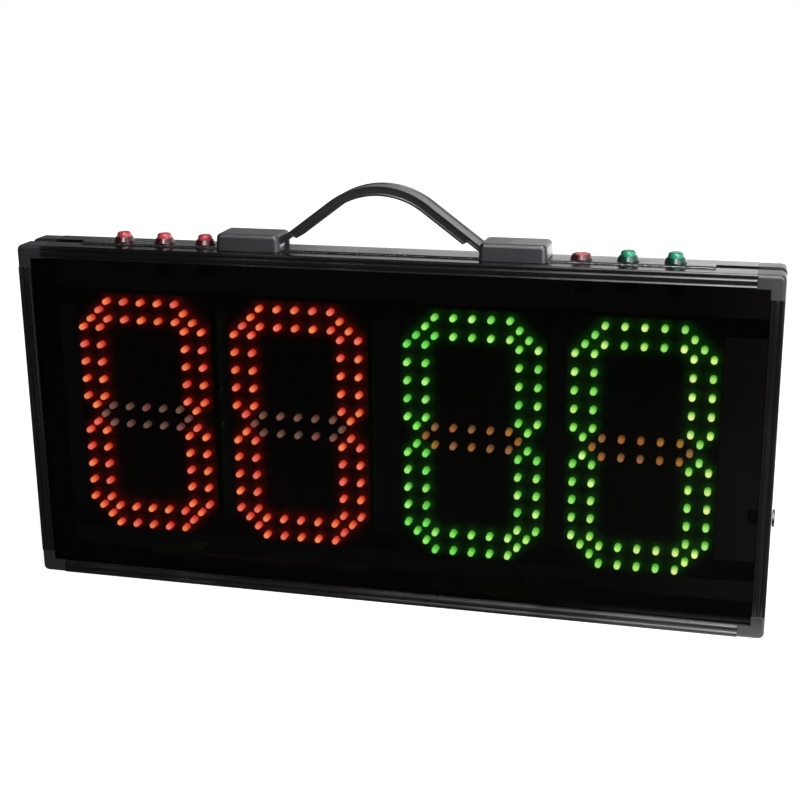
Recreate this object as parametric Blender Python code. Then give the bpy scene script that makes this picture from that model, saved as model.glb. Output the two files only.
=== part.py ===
"""Electronic substitution board: a two-sided number display in a metal frame with a handle.

The frame stands on the XY plane. Its width runs along X, its display faces look along
-Y (front) and +Y (rear), and its height runs along Z. All sizes are in metres.
"""
import math

import bmesh
import bpy
from mathutils import Matrix, Vector

# Edges that meet at less than this angle are shaded smooth
SMOOTH_ANGLE = math.radians(35)

# Largest part of a wall that a rounding may take
ROUNDING_LIMIT = 0.9

# Frame, overall
FRAME_WIDTH = 0.625
FRAME_HEIGHT = 0.2935
FRAME_DEPTH = 0.049
CLEARANCE = 0.0003

# Frame profile: a front and a rear bezel with a panel slot each, and a groove outside
BEZEL_WIDTH = 0.0110
EDGE_RADIUS = 0.0014
BEZEL_RIM = 0.0012
BEZEL_GROOVE_WIDTH = 0.0026
BEZEL_GROOVE_DEPTH = 0.0012
BEZEL_SLOPE = 0.0009
BEZEL_DROP = 0.0016
BEZEL_LIP = 0.0030
PANEL_THICKNESS = 0.003
PANEL_HOLD = 0.0055
PANEL_WEB = 0.0017
PROFILE_WALL = 0.0022
GROOVE_WIDTH = 0.0125
GROOVE_DEPTH = 0.0024

# Corner caps: moulded blocks with a tongue into each rail
CAP_LEG_ALONG = 0.021
CAP_LEG_UP = 0.019
CAP_CORNER_RADIUS = 0.0045
CAP_EDGE_RADIUS = 0.003
TONGUE_LENGTH = 0.015
TONGUE_DEPTH = 0.026
TONGUE_THICKNESS = 0.0042

# Digits: seven segments of twelve lamps on one grid
LED_PITCH = 0.01524
LED_RADIUS = 0.0026
LED_SHOULDER = 0.0060
LED_HEIGHT = 0.0086
LED_ROOT = 0.0004
LED_SIDES = 5
INNER_DIGIT_X = 0.0737
DIGIT_SPACING = 0.1355
BOARD_MARGIN = 0.0068
BOARD_THICKNESS = 0.0016
LED_TIP_TO_PANEL = 0.0015

# Bars that carry the digit boards
BAR_HEIGHT = 0.012
BAR_WALL = 0.0015

# Strip over the groove in the top rail
STRIP_LENGTH = 0.520
STRIP_WIDTH = 0.020
STRIP_THICKNESS = 0.0012
STRIP_CHAMFER = 0.0004

# Push switches in the top rail
SWITCH_SIDES = 12
LEFT_SWITCHES_X = -0.189
RIGHT_SWITCHES_X = 0.1935
SWITCH_SPACING = 0.036
SWITCH_BARREL_RADIUS = 0.00775
SWITCH_BARREL_LENGTH = 0.025
COLLAR_RADIUS = 0.009
COLLAR_HEIGHT = 0.0030
COLLAR_RIM = 0.0009
BUTTON_RADIUS = 0.00615
BUTTON_TOP = 0.0080
BUTTON_DOME = 0.0011
BUTTON_IN_WELL = 0.0016
STEM_RADIUS = 0.0024
STEM_LENGTH = 0.0040
PUSH_TRAVEL = 0.0030
LATCH_TRAVEL = 0.0036
LATCHED_SWITCH = 4
SWITCH_NUT_FLATS = 0.0205
SWITCH_NUT_HEIGHT = 0.0035

# Handle: a moulded strap held at each end under a snap-on cover
HANDLE_X = -0.0024
HANDLE_CAP_INNER = 0.0815
HANDLE_CAP_LENGTH = 0.0542
HANDLE_CAP_DEPTH = 0.034
HANDLE_CAP_HEIGHT = 0.0139
HANDLE_CAP_WALL = 0.002
HANDLE_CAP_CORNER = 0.0045
HANDLE_CAP_DRAFT = 0.0006
HANDLE_CAP_EDGE = 0.0050
HANDLE_CAP_SHOULDER_INSET = 0.0014
HANDLE_CAP_SHOULDER_DROP = 0.0022
HANDLE_CAP_BROW_INSET = 0.0030
HANDLE_CAP_BROW_DROP = 0.0006
HANDLE_CAP_TOP_INSET = 0.0052
BASE_THICKNESS = 0.0024
STRAP_WIDTH = 0.021
STRAP_THICKNESS = 0.0078
STRAP_NECK = 0.0042
STRAP_RIM = 0.0024
STRAP_RIM_HEIGHT = 0.0006
STRAP_CROWN_RADIUS = 0.0673
STRAP_CROWN_HEIGHT = 0.0552
STRAP_ANGLE = math.radians(36.7)
STRAP_FOOT_RADIUS = 0.011
STRAP_STEP_BEFORE_CAP = 0.011
STRAP_STEP_LENGTH = 0.0016
STRAP_TAIL = 0.026
SCREW_SIDES = 8
SCREW_RADIUS = 0.002
SCREW_HEAD_RADIUS = 0.0038
SCREW_HEAD_HEIGHT = 0.0022
SCREW_TIP = 0.0008
SCREW_INNER = 0.018
SCREW_OUTER = 0.042
NUT_PLATE_MARGIN = 0.006
NUT_PLATE_WIDTH = 0.014
NUT_PLATE_THICKNESS = 0.003

# Charging socket in the right rail
SOCKET_SIDES = 12
SOCKET_Z = 0.0939
SOCKET_FLANGE_RADIUS = 0.00725
SOCKET_FLANGE_THICKNESS = 0.002
SOCKET_BARREL_RADIUS = 0.0053
SOCKET_BARREL_LENGTH = 0.019
SOCKET_BORE_RADIUS = 0.0028
SOCKET_BORE_DEPTH = 0.0095
SOCKET_PIN_RADIUS = 0.00105
SOCKET_PIN_RECESS = 0.0012
SOCKET_NUT_FLATS = 0.014
SOCKET_NUT_HEIGHT = 0.0025

# Battery pack on the bottom rail
BATTERY_X = -0.115
BATTERY_LENGTH = 0.200
BATTERY_DIAMETER = 0.0186
BATTERY_CORNER = 0.006
BATTERY_CLIP_LENGTH = 0.014
BATTERY_CLIP_INSET = 0.040
BATTERY_CLIP_FOOT = 0.0035
BATTERY_CLIP_SHEET = 0.0012

# Controller board on the bottom rail
CONTROLLER_X = 0.105
CONTROLLER_LENGTH = 0.130
CONTROLLER_DEPTH = 0.028
CONTROLLER_STANDOFF = 0.0065
CONTROLLER_LEG = 0.005
CONVERTER_X = -0.040
CONVERTER_LENGTH = 0.018
CONVERTER_DEPTH = 0.014
CONVERTER_HEIGHT = 0.010
CHIP_X = -0.008
CHIP_LENGTH = 0.020
CHIP_DEPTH = 0.012
CHIP_HEIGHT = 0.003
PLUG_X = 0.022
PLUG_Y = -0.006
PLUG_LENGTH = 0.014
PLUG_DEPTH = 0.008
PLUG_HEIGHT = 0.0085
TERMINAL_X = 0.048
TERMINAL_Y = 0.002
TERMINAL_LENGTH = 0.022
TERMINAL_DEPTH = 0.010
TERMINAL_HEIGHT = 0.012
CAN_X = 0.006
CAN_Y = 0.007
CAN_SPACING = 0.030
CAN_RADIUS = 0.004
CAN_HEIGHT = 0.011
CAN_SIDES = 12

# Places that follow from the sizes above
FRONT = -FRAME_DEPTH / 2
SLOT_START = FRONT + BEZEL_LIP
PANEL_FRONT = SLOT_START + CLEARANCE
PANEL_BACK = PANEL_FRONT + PANEL_THICKNESS
SLOT_END = PANEL_BACK + CLEARANCE
SLOT_BOTTOM = BEZEL_WIDTH - PANEL_HOLD
WEB_BACK = SLOT_END + PANEL_WEB
GROOVE_HALF = GROOVE_WIDTH / 2
STEP_HALF = GROOVE_HALF + PROFILE_WALL
FLOOR_INSET = GROOVE_DEPTH + PROFILE_WALL
BOARD_FRONT = PANEL_BACK + LED_TIP_TO_PANEL + LED_HEIGHT
BOARD_BACK = BOARD_FRONT + BOARD_THICKNESS
DIGIT_Z = FRAME_HEIGHT / 2
DIGIT_PLACES = (
    -INNER_DIGIT_X - DIGIT_SPACING, -INNER_DIGIT_X, INNER_DIGIT_X, INNER_DIGIT_X + DIGIT_SPACING)
BOARD_HALF_WIDTH = 3.5 * LED_PITCH + BOARD_MARGIN
BOARD_HALF_HEIGHT = 6.5 * LED_PITCH + BOARD_MARGIN
BAR_HALF_DEPTH = -BOARD_BACK - CLEARANCE
BAR_HALF_LENGTH = FRAME_WIDTH / 2 - FLOOR_INSET - CLEARANCE
BATTERY_FLOOR = FLOOR_INSET + CLEARANCE
BATTERY_CEILING = BATTERY_FLOOR + BATTERY_DIAMETER
TOP = FRAME_HEIGHT
STRIP_TOP = TOP + CLEARANCE + STRIP_THICKNESS
SWITCH_SEAT = STRIP_TOP + CLEARANCE
SWITCH_HOLE = SWITCH_BARREL_RADIUS + CLEARANCE
RAIL_INSIDE = TOP - FLOOR_INSET
BASE_BOTTOM = STRIP_TOP + CLEARANCE
BASE_TOP = BASE_BOTTOM + BASE_THICKNESS
HANDLE_CAP_INSIDE_CORNER = HANDLE_CAP_CORNER - HANDLE_CAP_WALL
STRAP_TAIL_TOP = BASE_TOP + CLEARANCE + STRAP_NECK
SCREW_HOLE = SCREW_RADIUS + CLEARANCE
NUT_PLATE_BOTTOM = RAIL_INSIDE - CLEARANCE - NUT_PLATE_THICKNESS

# Colour, roughness and metallic value of each finish
BLACK_METAL = ((0.012, 0.012, 0.014), 0.22, 0.6)
CAP_PLASTIC = ((0.030, 0.030, 0.034), 0.42, 0.0)
TINTED_PANEL = ((0.010, 0.010, 0.011), 0.08, 0.0)
STRIP_METAL = ((0.045, 0.046, 0.050), 0.30, 0.6)
CIRCUIT_BOARD = ((0.010, 0.012, 0.012), 0.50, 0.0)
RED_LAMPS = ((0.85, 0.10, 0.05), 0.35, 0.0)
GREEN_LAMPS = ((0.20, 0.85, 0.10), 0.35, 0.0)
BRIGHT_METAL = ((0.55, 0.56, 0.58), 0.32, 1.0)
BATTERY_WRAP = ((0.02, 0.10, 0.32), 0.45, 0.0)
SOFT_BLACK = ((0.025, 0.025, 0.028), 0.48, 0.0)
SOCKET_BLACK = ((0.015, 0.015, 0.016), 0.35, 0.0)
RED_BUTTON = ((0.62, 0.05, 0.06), 0.25, 0.0)
GREEN_BUTTON = ((0.03, 0.42, 0.22), 0.25, 0.0)
RED_COLLAR = ((0.16, 0.02, 0.03), 0.20, 0.2)
GREEN_COLLAR = ((0.02, 0.12, 0.08), 0.20, 0.2)


def clear_scene():
    """Remove every object that the file opened with."""
    for obj in list(bpy.data.objects):
        bpy.data.objects.remove(obj, do_unlink=True)


def principled(name, finish):
    """Make a material with a colour, a roughness and a metallic value."""
    colour, roughness, metallic = finish
    material = bpy.data.materials.new(name)
    material.use_nodes = True
    shader = material.node_tree.nodes["Principled BSDF"]
    shader.inputs["Base Color"].default_value = (*colour, 1.0)
    shader.inputs["Roughness"].default_value = roughness
    shader.inputs["Metallic"].default_value = metallic
    material.diffuse_color = (*colour, 1.0)
    return material


def add_piece(name, bm, finish, parent=None, origin=(0.0, 0.0, 0.0), smooth=False):
    """Turn a bmesh in world coordinates into a named object with its own origin."""
    bmesh.ops.recalc_face_normals(bm, faces=bm.faces)
    bmesh.ops.translate(bm, vec=-Vector(origin), verts=bm.verts)
    mesh = bpy.data.meshes.new(name)
    bm.to_mesh(mesh)
    bm.free()
    if smooth:
        mesh.shade_smooth()
        mesh.set_sharp_from_angle(angle=SMOOTH_ANGLE)
    piece = bpy.data.objects.new(name, mesh)
    piece.location = origin
    piece.parent = parent
    bpy.context.scene.collection.objects.link(piece)
    if finish:
        mesh.materials.append(principled(name + "_finish", finish))
    return piece


def add_group(name, parent=None):
    """Add an empty that holds the pieces of one sub-assembly."""
    group = bpy.data.objects.new(name, None)
    group.parent = parent
    bpy.context.scene.collection.objects.link(group)
    return group


def extruded(outline, start, end, place):
    """Extrude a closed outline of (a, b) points; place(a, b, s) gives the world point."""
    bm = bmesh.new()
    face = bm.faces.new([bm.verts.new(place(a, b, start)) for a, b in outline])
    grown = bmesh.ops.extrude_face_region(bm, geom=[face])
    a, b = outline[0]
    shift = Vector(place(a, b, end)) - Vector(place(a, b, start))
    moved = [item for item in grown["geom"] if isinstance(item, bmesh.types.BMVert)]
    bmesh.ops.translate(bm, vec=shift, verts=moved)
    return bm


def lofted(rings):
    """Skin rings of points that follow one another and close both ends."""
    bm = bmesh.new()
    loops = [[bm.verts.new(point) for point in ring] for ring in rings]
    count = len(loops[0])
    for ring, following in zip(loops, loops[1:]):
        for i in range(count):
            j = (i + 1) % count
            bm.faces.new((ring[i], ring[j], following[j], following[i]))
    bm.faces.new(loops[0])
    bm.faces.new(loops[-1])
    return bm


def turned(profile, centre, axis, sides):
    """Spin a profile of (radius, height) points, both ends on the axis, about that axis."""
    axis = Vector(axis)
    across = axis.orthogonal().normalized()
    bm = bmesh.new()
    points = [bm.verts.new(Vector(centre) + across * r + axis * h) for r, h in profile]
    edges = [bm.edges.new(pair) for pair in zip(points, points[1:])]
    bmesh.ops.spin(
        bm, geom=points + edges, cent=centre, axis=axis, angle=math.tau, steps=sides,
        use_merge=True)
    bmesh.ops.remove_doubles(bm, verts=bm.verts, dist=1e-6)
    return bm


def box(low, high):
    """Give a block between two corners."""
    centre = (Vector(low) + Vector(high)) / 2
    size = Vector(high) - Vector(low)
    bm = bmesh.new()
    bmesh.ops.create_cube(bm, size=1.0, matrix=Matrix.Translation(centre) @ Matrix.Diagonal(
        (*size, 1.0)))
    return bm


def cylinder(start, end, radius, sides):
    """Give a cylinder or prism between two points on its axis."""
    axis = Vector(end) - Vector(start)
    turn = axis.to_track_quat("Z", "Y").to_matrix().to_4x4()
    middle = Matrix.Translation((Vector(start) + Vector(end)) / 2)
    bm = bmesh.new()
    bmesh.ops.create_cone(
        bm, cap_ends=True, segments=sides, radius1=radius, radius2=radius,
        depth=axis.length, matrix=middle @ turn)
    return bm


def combine(target, bm, operation):
    """Cut a shape out of a piece (DIFFERENCE) or join one to it (UNION)."""
    tool = add_piece("tool", bm, None)
    target_place = target.location.copy()
    tool.data.transform(Matrix.Translation(-target_place))
    tool.location = target_place
    step = target.modifiers.new("step", "BOOLEAN")
    step.operation = operation
    step.solver = "EXACT"
    step.object = tool
    bpy.context.view_layer.update()
    bpy.context.view_layer.objects.active = target
    bpy.ops.object.modifier_apply(modifier=step.name)
    bpy.data.objects.remove(tool, do_unlink=True)


def arc(centre, radius, start, end, steps):
    """Give the points of an arc between two angles, both ends included."""
    angles = [start + (end - start) * i / steps for i in range(steps + 1)]
    return [(centre[0] + radius * math.cos(t), centre[1] + radius * math.sin(t)) for t in angles]


def rounded_rectangle(half_a, half_b, radius, steps=3):
    """Give the outline of a rectangle with round corners about the origin."""
    points = []
    for quarter, (sa, sb) in enumerate(((1, 1), (-1, 1), (-1, -1), (1, -1))):
        centre = (sa * (half_a - radius), sb * (half_b - radius))
        start = quarter * math.pi / 2
        points += arc(centre, radius, start, start + math.pi / 2, steps)
    return points


def bezel_groove(start):
    """Outline of one shallow groove along the bezel that begins at start."""
    end = start + BEZEL_GROOVE_WIDTH
    floor = FRONT + BEZEL_GROOVE_DEPTH
    return [
        (start, FRONT), (start + BEZEL_GROOVE_DEPTH, floor),
        (end - BEZEL_GROOVE_DEPTH, floor), (end, FRONT)]


def frame_profile():
    """Outline of the frame section as (distance from the outer edge, y) points."""
    outer_groove = EDGE_RADIUS + BEZEL_RIM
    slope_start = BEZEL_WIDTH - BEZEL_SLOPE
    front = [(GROOVE_DEPTH, -GROOVE_HALF), (0.0, -GROOVE_HALF)]
    front += arc((EDGE_RADIUS, FRONT + EDGE_RADIUS), EDGE_RADIUS, math.pi, 1.5 * math.pi, 3)
    for start in (outer_groove, slope_start - BEZEL_GROOVE_WIDTH):
        front += bezel_groove(start)
    front += [
        (BEZEL_WIDTH, FRONT + BEZEL_DROP),
        (BEZEL_WIDTH, SLOT_START),
        (SLOT_BOTTOM, SLOT_START),
        (SLOT_BOTTOM, SLOT_END),
        (BEZEL_WIDTH, SLOT_END),
        (BEZEL_WIDTH, WEB_BACK),
        (PROFILE_WALL, WEB_BACK),
        (PROFILE_WALL, -STEP_HALF),
        (FLOOR_INSET, -STEP_HALF),
    ]
    return front + [(inset, -y) for inset, y in reversed(front)]


def build_rails(parent):
    """Cut the four rails from the frame profile and drill them for what they carry."""
    half = FRAME_WIDTH / 2
    along = half - CAP_LEG_ALONG - CLEARANCE
    low = CAP_LEG_UP + CLEARANCE
    high = FRAME_HEIGHT - low
    sides = {
        "top_rail": (lambda u, y, s: (s, y, TOP - u), -along, along),
        "bottom_rail": (lambda u, y, s: (s, y, u), -along, along),
        "left_rail": (lambda u, y, s: (u - half, y, s), low, high),
        "right_rail": (lambda u, y, s: (half - u, y, s), low, high),
    }
    rails = {}
    for name, (place, start, end) in sides.items():
        bm = extruded(frame_profile(), start, end, place)
        rails[name] = add_piece(name, bm, BLACK_METAL, parent)
    for x in switch_places():
        drill_down(rails["top_rail"], x, SWITCH_HOLE, SWITCH_SIDES)
    for x in handle_screw_places():
        drill_down(rails["top_rail"], x, SCREW_HOLE, SCREW_SIDES)
    hole = cylinder(
        (half - 2 * FLOOR_INSET, 0, SOCKET_Z), (half + FLOOR_INSET, 0, SOCKET_Z),
        SOCKET_BARREL_RADIUS + CLEARANCE, SOCKET_SIDES)
    combine(rails["right_rail"], hole, "DIFFERENCE")


def drill_down(piece, x, radius, sides):
    """Drill a hole down through a piece on the frame's middle line at x."""
    hole = cylinder((x, 0, RAIL_INSIDE - FLOOR_INSET), (x, 0, BASE_TOP + FLOOR_INSET), radius, sides)
    combine(piece, hole, "DIFFERENCE")


def build_corner_caps(parent):
    """Mould the four corner blocks, each with a tongue into both rails beside it."""
    for side_x, word_x in ((-1, "left"), (1, "right")):
        for side_z, word_z in ((-1, "bottom"), (1, "top")):
            build_corner_cap(f"corner_cap_{word_z}_{word_x}", side_x, side_z, parent)


def corner_outline(inset):
    """Outline of the L as (along, up) distances from the outer corner, outside set in."""
    corner = arc(
        (CAP_CORNER_RADIUS, CAP_CORNER_RADIUS), CAP_CORNER_RADIUS - inset, math.pi,
        1.5 * math.pi, 3)
    return corner + [
        (CAP_LEG_ALONG, inset), (CAP_LEG_ALONG, BEZEL_WIDTH), (BEZEL_WIDTH, BEZEL_WIDTH),
        (BEZEL_WIDTH, CAP_LEG_UP), (inset, CAP_LEG_UP)]


def build_corner_cap(name, side_x, side_z, parent):
    """Mould one corner block with its groove, its two panel slots and its tongues."""
    corner_x = side_x * FRAME_WIDTH / 2
    corner_z = TOP if side_z > 0 else 0.0

    def place(along, up, y):
        return (corner_x - side_x * along, y, corner_z - side_z * up)

    rounding = [(CAP_EDGE_RADIUS * (1 - math.sin(t)), CAP_EDGE_RADIUS * (1 - math.cos(t)))
                for t in (0.0, math.pi / 6, math.pi / 3, math.pi / 2)]
    stations = [(inset, FRONT + depth) for inset, depth in rounding]
    stations += [(inset, -y) for inset, y in reversed(stations)]
    rings = [[place(a, b, y) for a, b in corner_outline(inset)] for inset, y in stations]
    cap = add_piece(name, lofted(rings), CAP_PLASTIC, parent)

    reach = CAP_LEG_ALONG + CAP_LEG_UP
    groove = [(-GROOVE_DEPTH, -GROOVE_DEPTH), (reach, -GROOVE_DEPTH), (reach, GROOVE_DEPTH)]
    groove += arc(
        (CAP_CORNER_RADIUS, CAP_CORNER_RADIUS), CAP_CORNER_RADIUS - GROOVE_DEPTH,
        1.5 * math.pi, math.pi, 3)
    groove += [(GROOVE_DEPTH, reach), (-GROOVE_DEPTH, reach)]
    combine(cap, extruded(groove, -GROOVE_HALF, GROOVE_HALF, place), "DIFFERENCE")
    slot = [(SLOT_BOTTOM, SLOT_BOTTOM), (reach, SLOT_BOTTOM), (reach, reach), (SLOT_BOTTOM, reach)]
    combine(cap, extruded(slot, SLOT_START, SLOT_END, place), "DIFFERENCE")
    combine(cap, extruded(slot, -SLOT_END, -SLOT_START, place), "DIFFERENCE")

    near = FLOOR_INSET + CLEARANCE
    far = near + TONGUE_THICKNESS
    root = BEZEL_WIDTH / 2
    along_tongue = [(root, near), (CAP_LEG_ALONG + TONGUE_LENGTH, near),
                    (CAP_LEG_ALONG + TONGUE_LENGTH, far), (root, far)]
    up_tongue = [(near, root), (far, root), (far, CAP_LEG_UP + TONGUE_LENGTH),
                 (near, CAP_LEG_UP + TONGUE_LENGTH)]
    for outline in (along_tongue, up_tongue):
        tongue = extruded(outline, -TONGUE_DEPTH / 2, TONGUE_DEPTH / 2, place)
        combine(cap, tongue, "UNION")


def build_panels(parent):
    """Place the tinted panels in their slots, front and rear."""
    half = FRAME_WIDTH / 2 - SLOT_BOTTOM - CLEARANCE
    low = SLOT_BOTTOM + CLEARANCE
    high = TOP - low
    add_piece(
        "front_panel", box((-half, PANEL_FRONT, low), (half, PANEL_BACK, high)), TINTED_PANEL,
        parent)
    add_piece(
        "rear_panel", box((-half, -PANEL_BACK, low), (half, -PANEL_FRONT, high)), TINTED_PANEL,
        parent)


def segment_lamps():
    """Places of a digit's lamps, in grid steps from its centre: seven segments of twelve."""
    lamps = []
    for row in (6, 0, -6):
        lamps += [(x, row + side) for side in (-0.5, 0.5) for x in range(-2, 3)]
        lamps += [(-2.5, row), (2.5, row)]
    for column in (-3, 3):
        for middle in (-3, 3):
            lamps += [(column + side, middle + z) for side in (-0.5, 0.5) for z in range(-2, 3)]
            lamps += [(column, middle - 2.5), (column, middle + 2.5)]
    return lamps


def lamp_cluster(centre_x):
    """Give all the lamps of one front digit, as bullets that start inside its board."""
    bm = bmesh.new()
    for step_x, step_z in segment_lamps():
        x = centre_x + step_x * LED_PITCH
        z = DIGIT_Z + step_z * LED_PITCH
        last = math.tau * (LED_SIDES - 1) / LED_SIDES
        ring = [(x + a, z + b) for a, b in arc((0, 0), LED_RADIUS, 0, last, LED_SIDES - 1)]
        root = [bm.verts.new((a, BOARD_FRONT + LED_ROOT, b)) for a, b in ring]
        shoulder = [bm.verts.new((a, BOARD_FRONT - LED_SHOULDER, b)) for a, b in ring]
        tip = bm.verts.new((x, BOARD_FRONT - LED_HEIGHT, z))
        bm.faces.new(root)
        for i, corner in enumerate(shoulder):
            j = (i + 1) % len(shoulder)
            bm.faces.new((root[i], root[j], shoulder[j], corner))
            bm.faces.new((corner, shoulder[j], tip))
    return bm


def build_digit_boards(parent):
    """Make a board of lamps for each digit in front, and its twin behind."""
    for number, x in enumerate(DIGIT_PLACES, start=1):
        low = (x - BOARD_HALF_WIDTH, BOARD_FRONT, DIGIT_Z - BOARD_HALF_HEIGHT)
        high = (x + BOARD_HALF_WIDTH, BOARD_BACK, DIGIT_Z + BOARD_HALF_HEIGHT)
        lamps = RED_LAMPS if x < 0 else GREEN_LAMPS
        front = add_piece(f"front_digit_board_{number}", box(low, high), lamps, parent)
        combine(front, lamp_cluster(x), "UNION")
        rear_low = (low[0], -BOARD_BACK, low[2])
        rear_high = (high[0], -BOARD_FRONT, high[2])
        add_piece(
            f"rear_digit_board_{number}", box(rear_low, rear_high), CIRCUIT_BOARD, parent)


def build_bars(parent):
    """Run two box-section bars between the side rails, behind the ends of the boards."""
    shift = BOARD_HALF_HEIGHT - BAR_HEIGHT / 2
    for name, z in (("upper_mounting_bar", DIGIT_Z + shift), ("lower_mounting_bar", DIGIT_Z - shift)):
        half_y = BAR_HALF_DEPTH
        half_z = BAR_HEIGHT / 2
        bar = add_piece(
            name, box((-BAR_HALF_LENGTH, -half_y, z - half_z), (BAR_HALF_LENGTH, half_y, z + half_z)),
            BRIGHT_METAL, parent)
        bore_y = half_y - BAR_WALL
        bore_z = half_z - BAR_WALL
        bore = box((-FRAME_WIDTH, -bore_y, z - bore_z), (FRAME_WIDTH, bore_y, z + bore_z))
        combine(bar, bore, "DIFFERENCE")


def build_strip(parent):
    """Lay the strip over the top groove and punch it for the switches and handle screws."""
    half_y = STRIP_WIDTH / 2
    low = TOP + CLEARANCE
    outline = [
        (-half_y, low), (half_y, low), (half_y, STRIP_TOP - STRIP_CHAMFER),
        (half_y - STRIP_CHAMFER, STRIP_TOP), (-half_y + STRIP_CHAMFER, STRIP_TOP),
        (-half_y, STRIP_TOP - STRIP_CHAMFER)]
    bm = extruded(outline, -STRIP_LENGTH / 2, STRIP_LENGTH / 2, lambda y, z, s: (s, y, z))
    strip = add_piece("switch_strip", bm, STRIP_METAL, parent)
    for x in switch_places():
        drill_down(strip, x, SWITCH_HOLE, SWITCH_SIDES)
    for x in handle_screw_places():
        drill_down(strip, x, SCREW_HOLE, SCREW_SIDES)


def switch_places():
    """Give the switches' places along the top rail, from left to right."""
    return [group + step for group in (LEFT_SWITCHES_X, RIGHT_SWITCHES_X)
            for step in (-SWITCH_SPACING, 0.0, SWITCH_SPACING)]


def build_switches(parent):
    """Fit the six push switches; the latched one rests at the bottom of its stroke."""
    for number, x in enumerate(switch_places(), start=1):
        latched = number == LATCHED_SWITCH
        red = number <= LATCHED_SWITCH
        travel = LATCH_TRAVEL if latched else PUSH_TRAVEL
        drop = LATCH_TRAVEL if latched else 0.0
        build_switch_body(number, x, travel, RED_COLLAR if red else GREEN_COLLAR, parent)
        build_button(number, x, drop, RED_BUTTON if red else GREEN_BUTTON, parent)
        build_switch_nut(number, x, parent)


def build_switch_body(number, x, travel, finish, parent):
    """Turn one switch body: barrel, cone-shaped collar and the well that guides the button."""
    well_radius = BUTTON_RADIUS + CLEARANCE
    well_floor = COLLAR_HEIGHT - BUTTON_IN_WELL - travel - CLEARANCE
    stem_floor = well_floor - STEM_LENGTH
    profile = [
        (0, -SWITCH_BARREL_LENGTH),
        (SWITCH_BARREL_RADIUS, -SWITCH_BARREL_LENGTH),
        (SWITCH_BARREL_RADIUS, 0),
        (COLLAR_RADIUS, 0),
        (COLLAR_RADIUS, COLLAR_RIM),
        (well_radius + COLLAR_RIM, COLLAR_HEIGHT),
        (well_radius, COLLAR_HEIGHT),
        (well_radius, well_floor),
        (STEM_RADIUS + CLEARANCE, well_floor),
        (STEM_RADIUS + CLEARANCE, stem_floor),
        (0, stem_floor),
    ]
    bm = turned(profile, (x, 0, SWITCH_SEAT), (0, 0, 1), SWITCH_SIDES)
    add_piece(f"switch_body_{number}", bm, finish, parent, smooth=True)


def build_button(number, x, drop, finish, parent):
    """Turn one push button with its stem; its origin lies on its stroke."""
    bottom = COLLAR_HEIGHT - BUTTON_IN_WELL
    shoulder = BUTTON_TOP - BUTTON_DOME
    profile = [
        (0, bottom - STEM_LENGTH),
        (STEM_RADIUS, bottom - STEM_LENGTH),
        (STEM_RADIUS, bottom),
        (BUTTON_RADIUS, bottom),
        (BUTTON_RADIUS, shoulder - BUTTON_DOME),
        (BUTTON_RADIUS - BUTTON_DOME, shoulder),
        (0, BUTTON_TOP),
    ]
    base = (x, 0, SWITCH_SEAT - drop)
    bm = turned(profile, base, (0, 0, 1), SWITCH_SIDES)
    add_piece(f"button_{number}", bm, finish, parent, origin=base, smooth=True)


def build_switch_nut(number, x, parent):
    """Make the hexagon nut that clamps one switch from inside the rail."""
    top = RAIL_INSIDE - CLEARANCE
    bottom = top - SWITCH_NUT_HEIGHT
    corner = SWITCH_NUT_FLATS / 2 / math.cos(math.pi / 6)
    nut = add_piece(
        f"switch_nut_{number}", cylinder((x, 0, bottom), (x, 0, top), corner, 6), BRIGHT_METAL,
        parent)
    drill_down(nut, x, SWITCH_HOLE, SWITCH_SIDES)


def handle_screw_places():
    """Give the handle screws' places along the top rail, from left to right."""
    places = []
    for side in (-1, 1):
        for reach in (SCREW_INNER, SCREW_OUTER):
            places.append(HANDLE_X + side * (HANDLE_CAP_INNER + reach))
    return sorted(places)


def strap_line():
    """Right half of the strap's top line: (x, z, slope angle, thickness), crown to tail."""
    centre_z = TOP + STRAP_CROWN_HEIGHT - STRAP_CROWN_RADIUS
    crown_end_x = STRAP_CROWN_RADIUS * math.sin(STRAP_ANGLE)
    crown_end_z = centre_z + STRAP_CROWN_RADIUS * math.cos(STRAP_ANGLE)
    foot_z = STRAP_TAIL_TOP + STRAP_FOOT_RADIUS * (1 - math.cos(STRAP_ANGLE))
    foot_x = crown_end_x + (crown_end_z - foot_z) / math.tan(STRAP_ANGLE)
    line = []
    crown_steps = 6
    for i in range(crown_steps + 1):
        t = STRAP_ANGLE * i / crown_steps
        x = STRAP_CROWN_RADIUS * math.sin(t)
        line.append((x, centre_z + STRAP_CROWN_RADIUS * math.cos(t), t, STRAP_THICKNESS))
    step_x = HANDLE_CAP_INNER - STRAP_STEP_BEFORE_CAP * math.cos(STRAP_ANGLE)
    for x, thickness in ((step_x, STRAP_THICKNESS), (step_x + STRAP_STEP_LENGTH, STRAP_NECK)):
        z = crown_end_z - (x - crown_end_x) * math.tan(STRAP_ANGLE)
        line.append((x, z, STRAP_ANGLE, thickness))
    foot_steps = 3
    for i in range(foot_steps + 1):
        t = STRAP_ANGLE * (1 - i / foot_steps)
        x = foot_x + STRAP_FOOT_RADIUS * (math.sin(STRAP_ANGLE) - math.sin(t))
        z = foot_z - STRAP_FOOT_RADIUS * (math.cos(t) - math.cos(STRAP_ANGLE))
        line.append((x, z, t, STRAP_NECK))
    line.append((HANDLE_CAP_INNER + STRAP_TAIL, STRAP_TAIL_TOP, 0.0, STRAP_NECK))
    return line


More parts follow.
